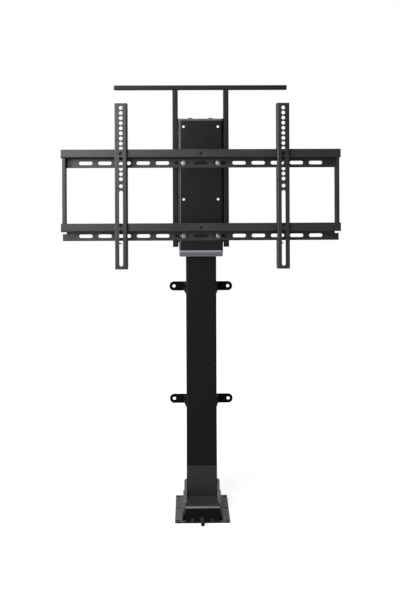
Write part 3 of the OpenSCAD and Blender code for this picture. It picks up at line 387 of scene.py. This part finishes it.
@dataclass(frozen=True)
class Fastener:
    """A screw's visible end, turned about +Z with its seat at z = 0.

    Sizes are in millimetres; depth is how far the shank goes into what it holds. The crown's, the cross's
    and the socket's sizes are shares of the head's.
    """

    name: str
    drive: Drive
    head_d: float
    head_h: float
    shank_d: float
    depth: float
    crown: float = 0.3
    washer_d: float = 0.0
    washer_t: float = 0.0
    tip_chamfer: float = 0.4
    under_chamfer: float = 0.15
    crown_flat: float = 0.68
    crown_steps: int = 5
    recess_deep: float = 0.55
    cross_arm: float = 0.28
    cross_slim: float = 0.065
    cross_taper: float = 0.45
    socket_r: float = 0.3
    turn_steps: int = 28
    merge: float = 0.001
    sharp_deg: float = 32.0

    def profile(self) -> list[tuple[float, float]]:
        """The head's half section from the shank's end up to the crown.

        Returns:
            Points of radius and height.
        """
        low = self.washer_t
        top = low + self.head_h
        edge = top - self.crown * self.head_h
        shank, head = self.shank_d / 2, self.head_d / 2
        points = [(0.0, -self.depth), (shank - self.tip_chamfer, -self.depth),
                  (shank, self.tip_chamfer - self.depth), (shank, 0.0)]
        if self.washer_d:
            points += [(self.washer_d / 2, 0.0), (self.washer_d / 2, low)]
        points += [(head - self.under_chamfer, low), (head, low + self.under_chamfer)]
        for i in range(self.crown_steps + 1):
            a = math.pi / 2 * i / self.crown_steps
            radius = head * (self.crown_flat + (1 - self.crown_flat) * math.cos(a))
            points.append((radius, edge + (top - edge) * math.sin(a)))
        return points + [(0.0, top)]

    def cutter(self) -> bpy.types.Object:
        """The recess that the tool goes in.

        Returns:
            An object to subtract from the head.
        """
        shape = bmesh.new()
        top = self.washer_t + self.head_h
        deep = self.head_h * self.recess_deep
        if self.drive is Drive.CROSS:
            arm = self.head_d * self.cross_arm
            slim = self.head_d * self.cross_slim
            corner = [Vector((arm, -slim)), Vector((arm, slim)), Vector((slim, slim))]
            outline = [Matrix.Rotation(math.pi / 2 * turn, 2) @ point
                       for turn in range(4) for point in corner]
            low = [shape.verts.new((self.cross_taper * p.x, self.cross_taper * p.y, top - deep))
                   for p in outline]
            high = [shape.verts.new((p.x, p.y, top + deep)) for p in outline]
            shape.faces.new(reversed(low))
            shape.faces.new(high)
            for i, corner_low in enumerate(low):
                after = (i + 1) % len(low)
                shape.faces.new((corner_low, low[after], high[after], high[i]))
        else:
            radius = self.head_d * self.socket_r
            bmesh.ops.create_cone(shape, cap_ends=True, segments=6, radius1=radius, radius2=radius,
                                  depth=deep * 2, matrix=Matrix.Translation((0, 0, top)))
        mesh = bpy.data.meshes.new(f"{self.name}_recess")
        shape.to_mesh(mesh)
        shape.free()
        return bpy.data.objects.new(mesh.name, mesh)

    def head(self) -> bpy.types.Object:
        """Turns the profile and cuts the recess.

        Returns:
            One fastener in metres, at the origin.
        """
        shape = bmesh.new()
        ring = [shape.verts.new((r, 0.0, z)) for r, z in self.profile()]
        edges = [shape.edges.new(pair) for pair in zip(ring, ring[1:])]
        bmesh.ops.spin(shape, geom=ring + edges, cent=(0, 0, 0), axis=(0, 0, 1), angle=2 * math.pi,
                       steps=self.turn_steps, use_duplicate=False)
        bmesh.ops.remove_doubles(shape, verts=shape.verts, dist=self.merge)
        if self.drive is Drive.HEX_HEAD:
            self.flatten(shape)
        bmesh.ops.recalc_face_normals(shape, faces=shape.faces)
        mesh = bpy.data.meshes.new(self.name)
        shape.to_mesh(mesh)
        shape.free()
        screw = bpy.data.objects.new(self.name, mesh)
        bpy.context.scene.collection.objects.link(screw)
        if self.drive is not Drive.HEX_HEAD:
            recess = self.cutter()
            bpy.context.scene.collection.objects.link(recess)
            cut = screw.modifiers.new("recess", "BOOLEAN")
            cut.object = recess
            cut.solver = "EXACT"
            bpy.context.view_layer.update()
            done = screw.evaluated_get(bpy.context.evaluated_depsgraph_get())
            screw.data = bpy.data.meshes.new_from_object(done)
            screw.modifiers.clear()
            bpy.data.objects.remove(recess)
        screw.data.transform(Matrix.Scale(MM, 4))
        screw.data.shade_smooth()
        screw.data.set_sharp_from_angle(angle=math.radians(self.sharp_deg))
        return screw

    def flatten(self, shape: bmesh.types.BMesh) -> None:
        """Presses the round head into a hexagon that keeps its width across corners.

        Args:
            shape: the turned screw.
        """
        for v in shape.verts:
            if v.co.z < self.washer_t + self.under_chamfer / 2:
                continue
            angle = math.atan2(v.co.y, v.co.x) % (math.pi / 3) - math.pi / 6
            flat = self.head_d / 2 * math.cos(math.pi / 6) / math.cos(angle)
            radius = math.hypot(v.co.x, v.co.y)
            if radius > flat:
                v.co.x *= flat / radius
                v.co.y *= flat / radius


@dataclass
class FastenerRow:
    """Equal fasteners set on points by Geometry Nodes, each turned at random about its axis."""

    fastener: Fastener
    places: list[tuple[Vector, Vector]]
    node: str
    finish: Finish
    seed: int = 7

    def tree(self, screw: bpy.types.Object, material: bpy.types.Material) -> bpy.types.NodeTree:
        """Builds the node group that sets the fasteners.

        Args:
            screw: one fastener.
            material: its material.

        Returns:
            A group with the inputs Size and Seed.
        """
        group = bpy.data.node_groups.new(f"set_{self.fastener.name}", "GeometryNodeTree")
        sockets = group.interface
        sockets.new_socket("Geometry", in_out="INPUT", socket_type="NodeSocketGeometry")
        sockets.new_socket("Size", in_out="INPUT", socket_type="NodeSocketFloat").default_value = 1.0
        sockets.new_socket("Seed", in_out="INPUT", socket_type="NodeSocketInt").default_value = 0
        sockets.new_socket("Geometry", in_out="OUTPUT", socket_type="NodeSocketGeometry")
        given = add_node(group, "NodeGroupInput")
        axis = add_node(group, "GeometryNodeInputNamedAttribute", {"data_type": "FLOAT_VECTOR"},
                        {"Name": "axis"})
        aim = add_node(group, "FunctionNodeAlignRotationToVector", {"axis": "Z"},
                       {"Vector": axis.outputs["Attribute"]})
        turn = add_node(group, "FunctionNodeRandomValue", {"data_type": "FLOAT"},
                        {RANDOM_LEAST: 0.0, RANDOM_MOST: 2 * math.pi, "Seed": given.outputs["Seed"]})
        spin = add_node(group, "FunctionNodeAxisAngleToRotation",
                        inputs={"Angle": turn.outputs[RANDOM_OUT]})
        both = add_node(group, "FunctionNodeRotateRotation", {"rotation_space": "LOCAL"},
                        {0: aim.outputs["Rotation"], 1: spin.outputs["Rotation"]})
        one = add_node(group, "GeometryNodeObjectInfo", inputs={"Object": screw})
        rows = add_node(group, "GeometryNodeInstanceOnPoints", inputs={
            "Points": given.outputs["Geometry"], "Instance": one.outputs["Geometry"],
            "Rotation": both.outputs["Rotation"], "Scale": given.outputs["Size"]})
        real = add_node(group, "GeometryNodeRealizeInstances", inputs={"Geometry": rows.outputs["Instances"]})
        dressed = add_node(group, "GeometryNodeSetMaterial", inputs={"Geometry": real.outputs["Geometry"],
                                                                    "Material": material})
        add_node(group, "NodeGroupOutput", inputs={"Geometry": dressed.outputs["Geometry"]})
        return group

    def build(self, shop: Workshop) -> bpy.types.Object:
        """Sets the fasteners and settles them as one piece.

        Args:
            shop: the nodes and finishes.

        Returns:
            The piece.
        """
        screw = self.fastener.head()
        mesh = bpy.data.meshes.new(f"{self.node}_places")
        mesh.from_pydata([place for place, _ in self.places], [], [])
        axis = mesh.attributes.new("axis", "FLOAT_VECTOR", "POINT")
        axis.data.foreach_set("vector", [c for _, way in self.places for c in way])
        raw = bpy.data.objects.new(f"{self.node}_raw", mesh)
        bpy.context.scene.collection.objects.link(raw)
        group = self.tree(screw, shop.material(self.finish))
        modifier = raw.modifiers.new("set", "NODES")
        modifier.node_group = group
        sockets = {item.name: item.identifier for item in group.interface.items_tree
                   if item.in_out == "INPUT"}
        modifier[sockets["Size"]] = 1.0
        modifier[sockets["Seed"]] = self.seed
        piece = shop.settle_evaluated(raw, f"{self.node}_turned", self.node, self.finish)
        bpy.data.objects.remove(screw)
        return piece


def middle(low: Vector, high: Vector) -> Vector:
    """The middle of a box."""
    return (low + high) / 2


@dataclass
class FloorBase:
    """Base plate, gussets, brace, drive case with its screws and gland.

    A face of the plate is cut where its normal rises less than steep, and a face of the case is its lip where
    its normal leans up and forward more than lip_tilt. The cut faces get painted shade and the lip a painted
    highlight.
    """

    sheet_edge_mm: float = 0.6
    case_edge_mm: float = 0.8
    gland_edge_mm: float = 0.3
    steep: float = 0.7
    lip_tilt: float = 0.3
    screw: Fastener = Fastener("case_screw", Drive.CROSS, 6.5, 2.2, 3.5, 5.5)

    def build(self, shop: Workshop) -> None:
        """Makes the softened sheets, the case and its two screws.

        Args:
            shop: the nodes and finishes.
        """
        plate = shop.soften("base_plate", BASE_COAT, self.sheet_edge_mm)
        # Painted shade: the plate's cut edges and hole walls take a dark, dull colour.
        shop.accent(plate, PLATE_EDGES_PAINTED_SHADE, self.is_cut)
        for side in Side:
            shop.soften(f"{side.value}_gusset", BASE_COAT, self.sheet_edge_mm)
        shop.soften("front_brace", BRACE_COAT, self.sheet_edge_mm)
        case = shop.soften("gear_case", CASE_PLASTIC, self.case_edge_mm)
        # Painted highlight: the case's lip takes a pale grey.
        shop.accent(case, LIP_PAINTED_HIGHLIGHT, self.is_lip)
        shop.soften("cable_gland", GLAND_NYLON, self.gland_edge_mm)
        low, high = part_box("case_screws")
        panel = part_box("gear_case")[0].y
        height = middle(low, high).z
        inset = self.screw.head_d / 2 * MM
        places = [(Vector((x, panel, height)), Vector((0, -1, 0))) for x in (low.x + inset, high.x - inset)]
        FastenerRow(self.screw, places, "case_screws", DULL_ZINC).build(shop)

    def is_cut(self, face: bpy.types.MeshPolygon) -> bool:
        """Tells whether a face of the base plate is upright, as its cut edges and hole walls are."""
        return abs(face.normal.z) < self.steep

    def is_lip(self, face: bpy.types.MeshPolygon) -> bool:
        """Tells whether a face of the case leans back, as its lip does."""
        return face.normal.z > self.lip_tilt and face.normal.y < -self.lip_tilt


@dataclass
class FixedColumn:
    """Outer column, its guide bush and the four wall ears with their screws."""

    edge_mm: float = 0.5
    ear_sheet_mm: float = 3.0
    flange_half_mm: float = 12.3
    screw_offset_mm: float = 6.15
    screw: Fastener = Fastener("ear_screw", Drive.HEX_SOCKET, 9.0, 2.5, 5.0, 3.0)

    def build(self, shop: Workshop) -> None:
        """Softens the column and its ears, and sets the ear screws.

        Args:
            shop: the nodes and finishes.
        """
        shop.soften("outer_column", COLUMN_PAINT, self.edge_mm)
        shop.soften("column_guide", CASE_PLASTIC, self.edge_mm)
        places = []
        depth = middle(*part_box("ear_screws")).y
        for level in ("upper", "lower"):
            for side in Side:
                name = f"{level}_{side.value}_ear"
                shop.soften(name, DRY_COAT_AND_PAINTED_SHADE, self.edge_mm)
                places += self.screw_places(name, side, depth)
        FastenerRow(self.screw, places, "ear_screws", BLACK_OXIDE).build(shop)

    def screw_places(self, ear: str, side: Side, depth: float) -> list[tuple[Vector, Vector]]:
        """Two places on an ear's side flange.

        Args:
            ear: the ear's node.
            side: which side of the column it is on.
            depth: the screws' place from front to back.

        Returns:
            Pairs of point and outward direction.
        """
        low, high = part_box(ear)
        way = -1 if side is Side.LEFT else 1
        seat = way * (abs(low.x if side is Side.RIGHT else high.x) + self.ear_sheet_mm * MM)
        centre = high.z - self.flange_half_mm * MM
        return [(Vector((seat, depth, centre + step * self.screw_offset_mm * MM)), Vector((way, 0, 0)))
                for step in (-1, 1)]


@dataclass
class DriveTrain:
    """Motor, worm pair, lead screw and what holds them, inside the case and the column."""

    cast: tuple[str, ...] = ("motor_bracket", "gear_frame", "bearing_bridge")
    steel: tuple[str, ...] = ("drive_motor", "screw_bearing", "lead_screw", "worm_shaft")

    def build(self, shop: Workshop) -> None:
        """Paints the hidden pieces, which keep their CAD shapes.

        Args:
            shop: the nodes and finishes.
        """
        shop.paint(self.cast, BASE_COAT)
        shop.paint(self.steel, TURNED_STEEL)
        shop.paint(("worm_wheel",), BRONZE)
        shop.paint(("sensor_board",), BOARD)


@dataclass
class Carriage:
    """The moving inner column, the folded carriage, its cap and collar.

    The left fold, where a face's normal leans more than fold_tilt to the front and the left, gets a painted
    highlight; the left wall, where it leans more than wall_tilt to the left, gets painted shade.
    """

    edge_mm: float = 0.6
    cap_edge_mm: float = 1.8
    collar_edge_mm: float = 1.6
    collar_rim_mm: float = 5.0
    fold_tilt: float = 0.2
    wall_tilt: float = 0.6
    cap_bolt: Fastener = Fastener("cap_bolt", Drive.HEX_HEAD, 15.0, 5.3, 8.0, 24.0, crown=0.12)
    clamp_screw: Fastener = Fastener("clamp_screw", Drive.HEX_SOCKET, 11.0, 4.0, 6.0, 2.3)

    def build(self, shop: Workshop) -> None:
        """Softens the shown pieces, paints the hidden ones and sets the screws.

        Args:
            shop: the nodes and finishes.
        """
        shop.soften("inner_column", COLUMN_PAINT, self.edge_mm)
        channel = shop.soften("carriage", CARRIAGE_COAT, self.edge_mm)
        # Painted highlight: a paler coat on the left fold.
        shop.accent(channel, LEFT_FOLD_PAINTED_HIGHLIGHT, self.is_left_fold)
        # Painted shade: the dark, dull coat on the left wall.
        shop.accent(channel, DRY_COAT_AND_PAINTED_SHADE, self.is_left_wall)
        # The cap plate's pale coat is in part a painted highlight along its front edge.
        shop.soften("cap_plate", BASE_COAT, self.cap_edge_mm)
        collar = shop.soften("collar", COLLAR_PLASTIC, self.collar_edge_mm)
        rim_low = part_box("collar")[1].z - self.collar_rim_mm * MM
        # Painted highlight: a pale colour on the collar's rim.
        shop.accent(collar, RIM_PAINTED_HIGHLIGHT, lambda face: face.center.z > rim_low)
        shop.paint(("nut_plate", "head_block"), BASE_COAT)
        shop.paint(("drive_nut",), BRONZE)
        shop.paint(("glide_shoe",), ACETAL)
        for side in Side:
            for level in ("upper", "lower"):
                shop.soften(f"{side.value}_{level}_clamp", CARRIAGE_COAT, self.edge_mm)
        low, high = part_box("cap_bolts")
        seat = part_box("cap_plate")[1].z
        inset = self.cap_bolt.head_d / 2 * MM
        places = [(Vector((x, 0, seat)), Vector((0, 0, 1))) for x in (low.x + inset, high.x - inset)]
        FastenerRow(self.cap_bolt, places, "cap_bolts", BLACK_OXIDE).build(shop)
        self.set_clamp_screws(shop)

    def is_left_fold(self, face: bpy.types.MeshPolygon) -> bool:
        """Tells whether a face of the carriage looks to the front and left, as its left fold does."""
        return face.normal.x < -self.fold_tilt and face.normal.y < -self.fold_tilt

    def is_left_wall(self, face: bpy.types.MeshPolygon) -> bool:
        """Tells whether a face of the carriage looks to the left."""
        return face.normal.x < -self.wall_tilt

    def set_clamp_screws(self, shop: Workshop) -> None:
        """Sets one screw on the outer side of each post clamp.

        Args:
            shop: the nodes and finishes.
        """
        depth = middle(*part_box("clamp_screws")).y
        places = []
        for side in Side:
            for level in ("upper", "lower"):
                low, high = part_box(f"{side.value}_{level}_clamp")
                way = -1 if side is Side.LEFT else 1
                seat = low.x if side is Side.LEFT else high.x
                places.append((Vector((seat, depth, middle(low, high).z)), Vector((way, 0, 0))))
        FastenerRow(self.clamp_screw, places, "clamp_screws", BLACK_OXIDE).build(shop)


@dataclass
class RailFrame:
    """Two slotted rails, their end bars, bolts and nuts.

    A face of a rail is its underside where its normal points down more than underside_tilt; the undersides
    get painted shade.
    """

    edge_mm: float = 0.5
    underside_tilt: float = 0.85
    bolt: Fastener = Fastener("rail_bolt", Drive.CROSS, 12.5, 4.5, 6.0, 9.5, crown=0.55, washer_d=14.0,
                              washer_t=1.2)

    def build(self, shop: Workshop) -> None:
        """Softens the rails and bars, and sets the bolts.

        Args:
            shop: the nodes and finishes.
        """
        for level in ("upper", "lower"):
            rail = shop.soften(f"{level}_rail", RAIL_COAT, self.edge_mm)
            # Painted shade: the dark, dull coat on the rails' undersides.
            shop.accent(rail, DRY_COAT_AND_PAINTED_SHADE, self.is_underside)
        for side in Side:
            shop.soften(f"{side.value}_end_bar", RAIL_COAT, self.edge_mm)
        shop.paint(("rail_nuts",), NICKEL)
        low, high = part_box("rail_bolts")
        inset = self.bolt.washer_d / 2 * MM
        seat = low.y + (self.bolt.head_h + self.bolt.washer_t) * MM
        places = [(Vector((x, seat, z)), Vector((0, -1, 0)))
                  for x in (low.x + inset, high.x - inset) for z in (low.z + inset, high.z - inset)]
        FastenerRow(self.bolt, places, "rail_bolts", NICKEL).build(shop)

    def is_underside(self, face: bpy.types.MeshPolygon) -> bool:
        """Tells whether a face of a rail looks down."""
        return face.normal.z < -self.underside_tilt


@dataclass
class LidBar:
    """Cross tube on two posts, with plastic end caps."""

    edge_mm: float = 0.4
    cap_edge_mm: float = 0.8

    def build(self, shop: Workshop) -> None:
        """Softens the tubes and their caps.

        Args:
            shop: the nodes and finishes.
        """
        for name in ("lid_bar", "left_post", "right_post"):
            shop.soften(name, LID_COAT, self.edge_mm)
        for name in ("post_caps", "bar_caps"):
            shop.soften(name, CASE_PLASTIC, self.cap_edge_mm)


@dataclass
class ScreenArm:
    """One hook-on screen arm with its latch and lock screw."""

    side: Side
    edge_mm: float = 0.5
    screw_edge_mm: float = 0.15

    def build(self, shop: Workshop) -> None:
        """Softens the arm, its latch and its headless lock screw.

        Args:
            shop: the nodes and finishes.
        """
        shop.soften(f"{self.side.value}_arm", RAIL_COAT, self.edge_mm)
        shop.soften(f"{self.side.value}_latch", RAIL_COAT, self.edge_mm)
        shop.soften(f"{self.side.value}_lock_screw", BLACK_OXIDE, self.screw_edge_mm)


@dataclass(frozen=True)
class Lamp:
    """A white soft box: its place, aim and size in metres."""

    name: str
    place: tuple[float, float, float]
    aim: tuple[float, float, float]
    size: tuple[float, float]
    watts: float

    def hang(self) -> None:
        """Hangs the lamp and turns it to its aim."""
        data = bpy.data.lights.new(self.name, "AREA")
        data.shape = "RECTANGLE"
        data.size, data.size_y = self.size
        data.energy = self.watts
        lamp = bpy.data.objects.new(self.name, data)
        lamp.location = self.place
        way = Vector(self.aim) - Vector(self.place)
        lamp.rotation_euler = way.to_track_quat("-Z", "Y").to_euler()
        bpy.context.scene.collection.objects.link(lamp)


@dataclass
class Studio:
    """White floor and surroundings, soft boxes and the camera.

    The world's light goes from world_front to world_back over world_turn, by how far a direction points
    behind the object. What gloss mirrors of the white backdrop begins at backdrop_depth and backdrop_rise.
    The floor's glow for the camera rises over floor_glow_reach_m from the object, and what gloss mirrors
    of it over floor_image_reach_m. The camera's image, focal_px and axis_px are in the photograph's pixels,
    and yaw and roll in radians.
    """

    lamps: tuple[Lamp, ...] = (
        Lamp("key_left", (-0.92, -1.78, 1.3), (0.0, -0.06, 0.85), (1.2, 1.05), 34.0),
        Lamp("side_left", (-1.7, -0.1, 1.0), (0.0, -0.05, 0.8), (0.5, 1.3), 26.0),
        Lamp("top_softbox", (0.0, -0.75, 2.2), (0.0, -0.1, 0.2), (1.4, 1.1), 26.0),
        Lamp("rear_right", (2.0, 1.5, 1.4), (0.0, 0.0, 0.7), (0.8, 1.4), 20.0),
    )
    world_front: float = 0.03
    world_back: float = 0.12
    world_turn: tuple[float, float] = (-0.4, 0.6)
    backdrop_depth: tuple[float, float] = (0.8, 1.0)
    backdrop_rise: tuple[float, float] = (0.1, 0.24)
    floor_glow: tuple[float, float] = (0.62, 1.0)
    floor_glow_reach_m: tuple[float, float] = (0.3, 0.9)
    floor_image_reach_m: tuple[float, float] = (0.9, 4.0)
    floor_half_m: float = 6.0
    floor_drop_mm: float = 0.2
    floor_hidden_inset_m: float = 0.0042
    floor_roughness: float = 0.9
    floor_specular: float = 0.1
    floor_shade: str = "#bcbcbc"
    under_plate_painted_shade: str = "#2c2c2c"
    image: tuple[int, int] = (400, 600)
    focal_px: float = 860.6
    axis_px: tuple[float, float] = (200.0, 188.5)
    eye_m: tuple[float, float, float] = (-0.034, -2.2965, 0.8468)
    yaw: float = 0.0141
    roll: float = -0.0041
    sensor_mm: float = 36.0
    view_m: tuple[float, float] = (0.05, 50.0)

    def build(self) -> None:
        """Sets the whole studio up."""
        for lamp in self.lamps:
            lamp.hang()
        self.lay_floor()
        self.light_world()
        self.stand_camera()
        bpy.context.scene.view_settings.view_transform = "Standard"

    def lay_floor(self) -> None:
        """Lays a white floor that keeps the object's shadow, with a dark patch under the base plate that is
        painted shade for the plate's holes.
        """
        drop = -self.floor_drop_mm * MM
        half = self.floor_half_m
        inset = self.floor_hidden_inset_m
        low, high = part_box("base_plate")
        outer = [(-half, -half, drop), (half, -half, drop), (half, half, drop), (-half, half, drop)]
        x0, x1 = low.x + inset, high.x - inset
        y0, y1 = low.y + inset, high.y - inset
        inner = [(x0, y0, drop), (x1, y0, drop), (x1, y1, drop), (x0, y1, drop)]
        ring = [(i, (i + 1) % 4, (i + 1) % 4 + 4, i + 4) for i in range(4)]
        mesh = bpy.data.meshes.new("studio_floor")
        mesh.from_pydata(outer + inner, [], ring + [(4, 5, 6, 7)])
        mesh.materials.append(self.paper("white_paper_floor", self.floor_shade, self.floor_glow))
        # Painted shade: the dark paper under the base plate darkens its holes.
        mesh.materials.append(self.paper("paper_in_the_dark_under_the_plate", self.under_plate_painted_shade, (0.0, 0.0)))
        mesh.polygons[len(ring)].material_index = 1
        floor = bpy.data.objects.new("studio_floor", mesh)
        bpy.context.scene.collection.objects.link(floor)

    def paper(self, name: str, colour: str, glow: tuple[float, float]) -> bpy.types.Material:
        """Paper that also glows for the camera, near the object less than far off.

        Args:
            name: the material's name.
            colour: the paper's own shade.
            glow: the glow near the object and far off.

        Returns:
            The material.
        """
        material = bpy.data.materials.new(name)
        material.use_nodes = True
        tree = material.node_tree
        tree.nodes.clear()
        place = add_node(tree, "ShaderNodeTexCoord")
        far = add_node(tree, "ShaderNodeVectorMath", {"operation": "LENGTH"}, {0: place.outputs["Object"]})
        ray = add_node(tree, "ShaderNodeLightPath")
        mirrored = add_node(tree, "ShaderNodeMath", {"operation": "MAXIMUM"}, {
            0: ray.outputs["Is Glossy Ray"], 1: ray.outputs["Is Transmission Ray"]})
        level = add_node(tree, "ShaderNodeMapRange", inputs={
            "Value": far.outputs["Value"], "From Min": self.floor_glow_reach_m[0],
            "From Max": self.floor_glow_reach_m[1], "To Min": glow[0], "To Max": glow[1]})
        image = add_node(tree, "ShaderNodeMapRange", inputs={
            "Value": far.outputs["Value"], "From Min": self.floor_image_reach_m[0],
            "From Max": self.floor_image_reach_m[1], "To Min": 0.0, "To Max": glow[1]})
        seen = add_node(tree, "ShaderNodeMath", {"operation": "MULTIPLY"}, {
            0: ray.outputs["Is Camera Ray"], 1: level.outputs["Result"]})
        strength = add_node(tree, "ShaderNodeMath", {"operation": "MULTIPLY_ADD"}, {
            0: mirrored.outputs["Value"], 1: image.outputs["Result"], 2: seen.outputs["Value"]})
        surface = add_node(tree, "ShaderNodeBsdfPrincipled", inputs={
            "Base Color": linear(colour), "Roughness": self.floor_roughness,
            "Specular IOR Level": self.floor_specular,
            "Emission Color": linear(WHITE), "Emission Strength": strength.outputs["Value"]})
        add_node(tree, "ShaderNodeOutputMaterial", inputs={"Surface": surface.outputs["BSDF"]})
        return material

    def light_world(self) -> None:
        """White to the camera; for light, bright behind the object and dim behind the camera."""
        world = bpy.data.worlds.new("white_studio")
        world.use_nodes = True
        bpy.context.scene.world = world
        tree = world.node_tree
        tree.nodes.clear()
        way = add_node(tree, "ShaderNodeTexCoord")
        parts = add_node(tree, "ShaderNodeSeparateXYZ", inputs={"Vector": way.outputs["Generated"]})
        depth = add_node(tree, "ShaderNodeMapRange", inputs={
            "Value": parts.outputs["Y"], "From Min": self.world_turn[0], "From Max": self.world_turn[1],
            "To Min": self.world_front, "To Max": self.world_back})
        behind = add_node(tree, "ShaderNodeMapRange", inputs={
            "Value": parts.outputs["Y"], "From Min": self.backdrop_depth[0],
            "From Max": self.backdrop_depth[1]})
        raised = add_node(tree, "ShaderNodeMapRange", inputs={
            "Value": parts.outputs["Z"], "From Min": self.backdrop_rise[0],
            "From Max": self.backdrop_rise[1]})
        panel = add_node(tree, "ShaderNodeMath", {"operation": "MULTIPLY"}, {
            0: behind.outputs["Result"], 1: raised.outputs["Result"]})
        ray = add_node(tree, "ShaderNodeLightPath")
        mirrored = add_node(tree, "ShaderNodeMath", {"operation": "MAXIMUM"}, {
            0: ray.outputs["Is Glossy Ray"], 1: ray.outputs["Is Transmission Ray"]})
        backdrop = add_node(tree, "ShaderNodeMath", {"operation": "MULTIPLY"}, {
            0: mirrored.outputs["Value"], 1: panel.outputs["Value"]})
        seen = add_node(tree, "ShaderNodeMath", {"operation": "MAXIMUM"}, {
            0: ray.outputs["Is Camera Ray"], 1: backdrop.outputs["Value"]})
        strength = add_node(tree, "ShaderNodeMix", {"data_type": "FLOAT"}, {
            "Factor": seen.outputs["Value"], MIX_NUMBER_A: depth.outputs["Result"], MIX_NUMBER_B: 1.0})
        sky = add_node(tree, "ShaderNodeBackground", inputs={"Color": linear(WHITE),
                                                             "Strength": strength.outputs[MIX_NUMBER_OUT]})
        add_node(tree, "ShaderNodeOutputWorld", inputs={"Surface": sky.outputs["Background"]})

    def stand_camera(self) -> None:
        """Stands the camera where the photograph was taken, level, with the lens shifted down."""
        data = bpy.data.cameras.new("photo_camera")
        data.sensor_fit = "VERTICAL"
        data.sensor_height = self.sensor_mm
        data.lens = self.focal_px / self.image[1] * data.sensor_height
        data.shift_x = (self.image[0] / 2 - self.axis_px[0]) / self.image[1]
        data.shift_y = (self.axis_px[1] - self.image[1] / 2) / self.image[1]
        data.clip_start, data.clip_end = self.view_m
        forward = Vector((math.sin(self.yaw), math.cos(self.yaw), 0))
        level = Vector((math.cos(self.yaw), -math.sin(self.yaw), 0))
        right = math.cos(self.roll) * level + math.sin(self.roll) * Vector((0, 0, 1))
        up = right.cross(forward)
        camera = bpy.data.objects.new("photo_camera", data)
        turn = Matrix((right, up, -forward)).transposed().to_4x4()
        camera.matrix_world = Matrix.Translation(self.eye_m) @ turn
        bpy.context.scene.collection.objects.link(camera)
        bpy.context.scene.camera = camera


def main() -> None:
    """Loads the frame, dresses each sub-assembly and sets up the studio."""
    logging.basicConfig(level=logging.INFO, format="%(name)s: %(message)s")
    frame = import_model()
    record = frame["record"]
    shop = Workshop(
        nodes=frame["nodes"],
        body_of={node: body for body, nodes in record["behaviour"]["bodies"].items() for node in nodes},
        slot_of={part["node"]: part["material_slot"] for part in record["subparts"]},
    )
    for assembly in (FloorBase(), FixedColumn(), DriveTrain(), Carriage(), RailFrame(), LidBar(),
                     ScreenArm(Side.LEFT), ScreenArm(Side.RIGHT)):
        LOG.info("building %s", type(assembly).__name__)
        assembly.build(shop)
    Studio().build()


if __name__ == "__main__":
    main()
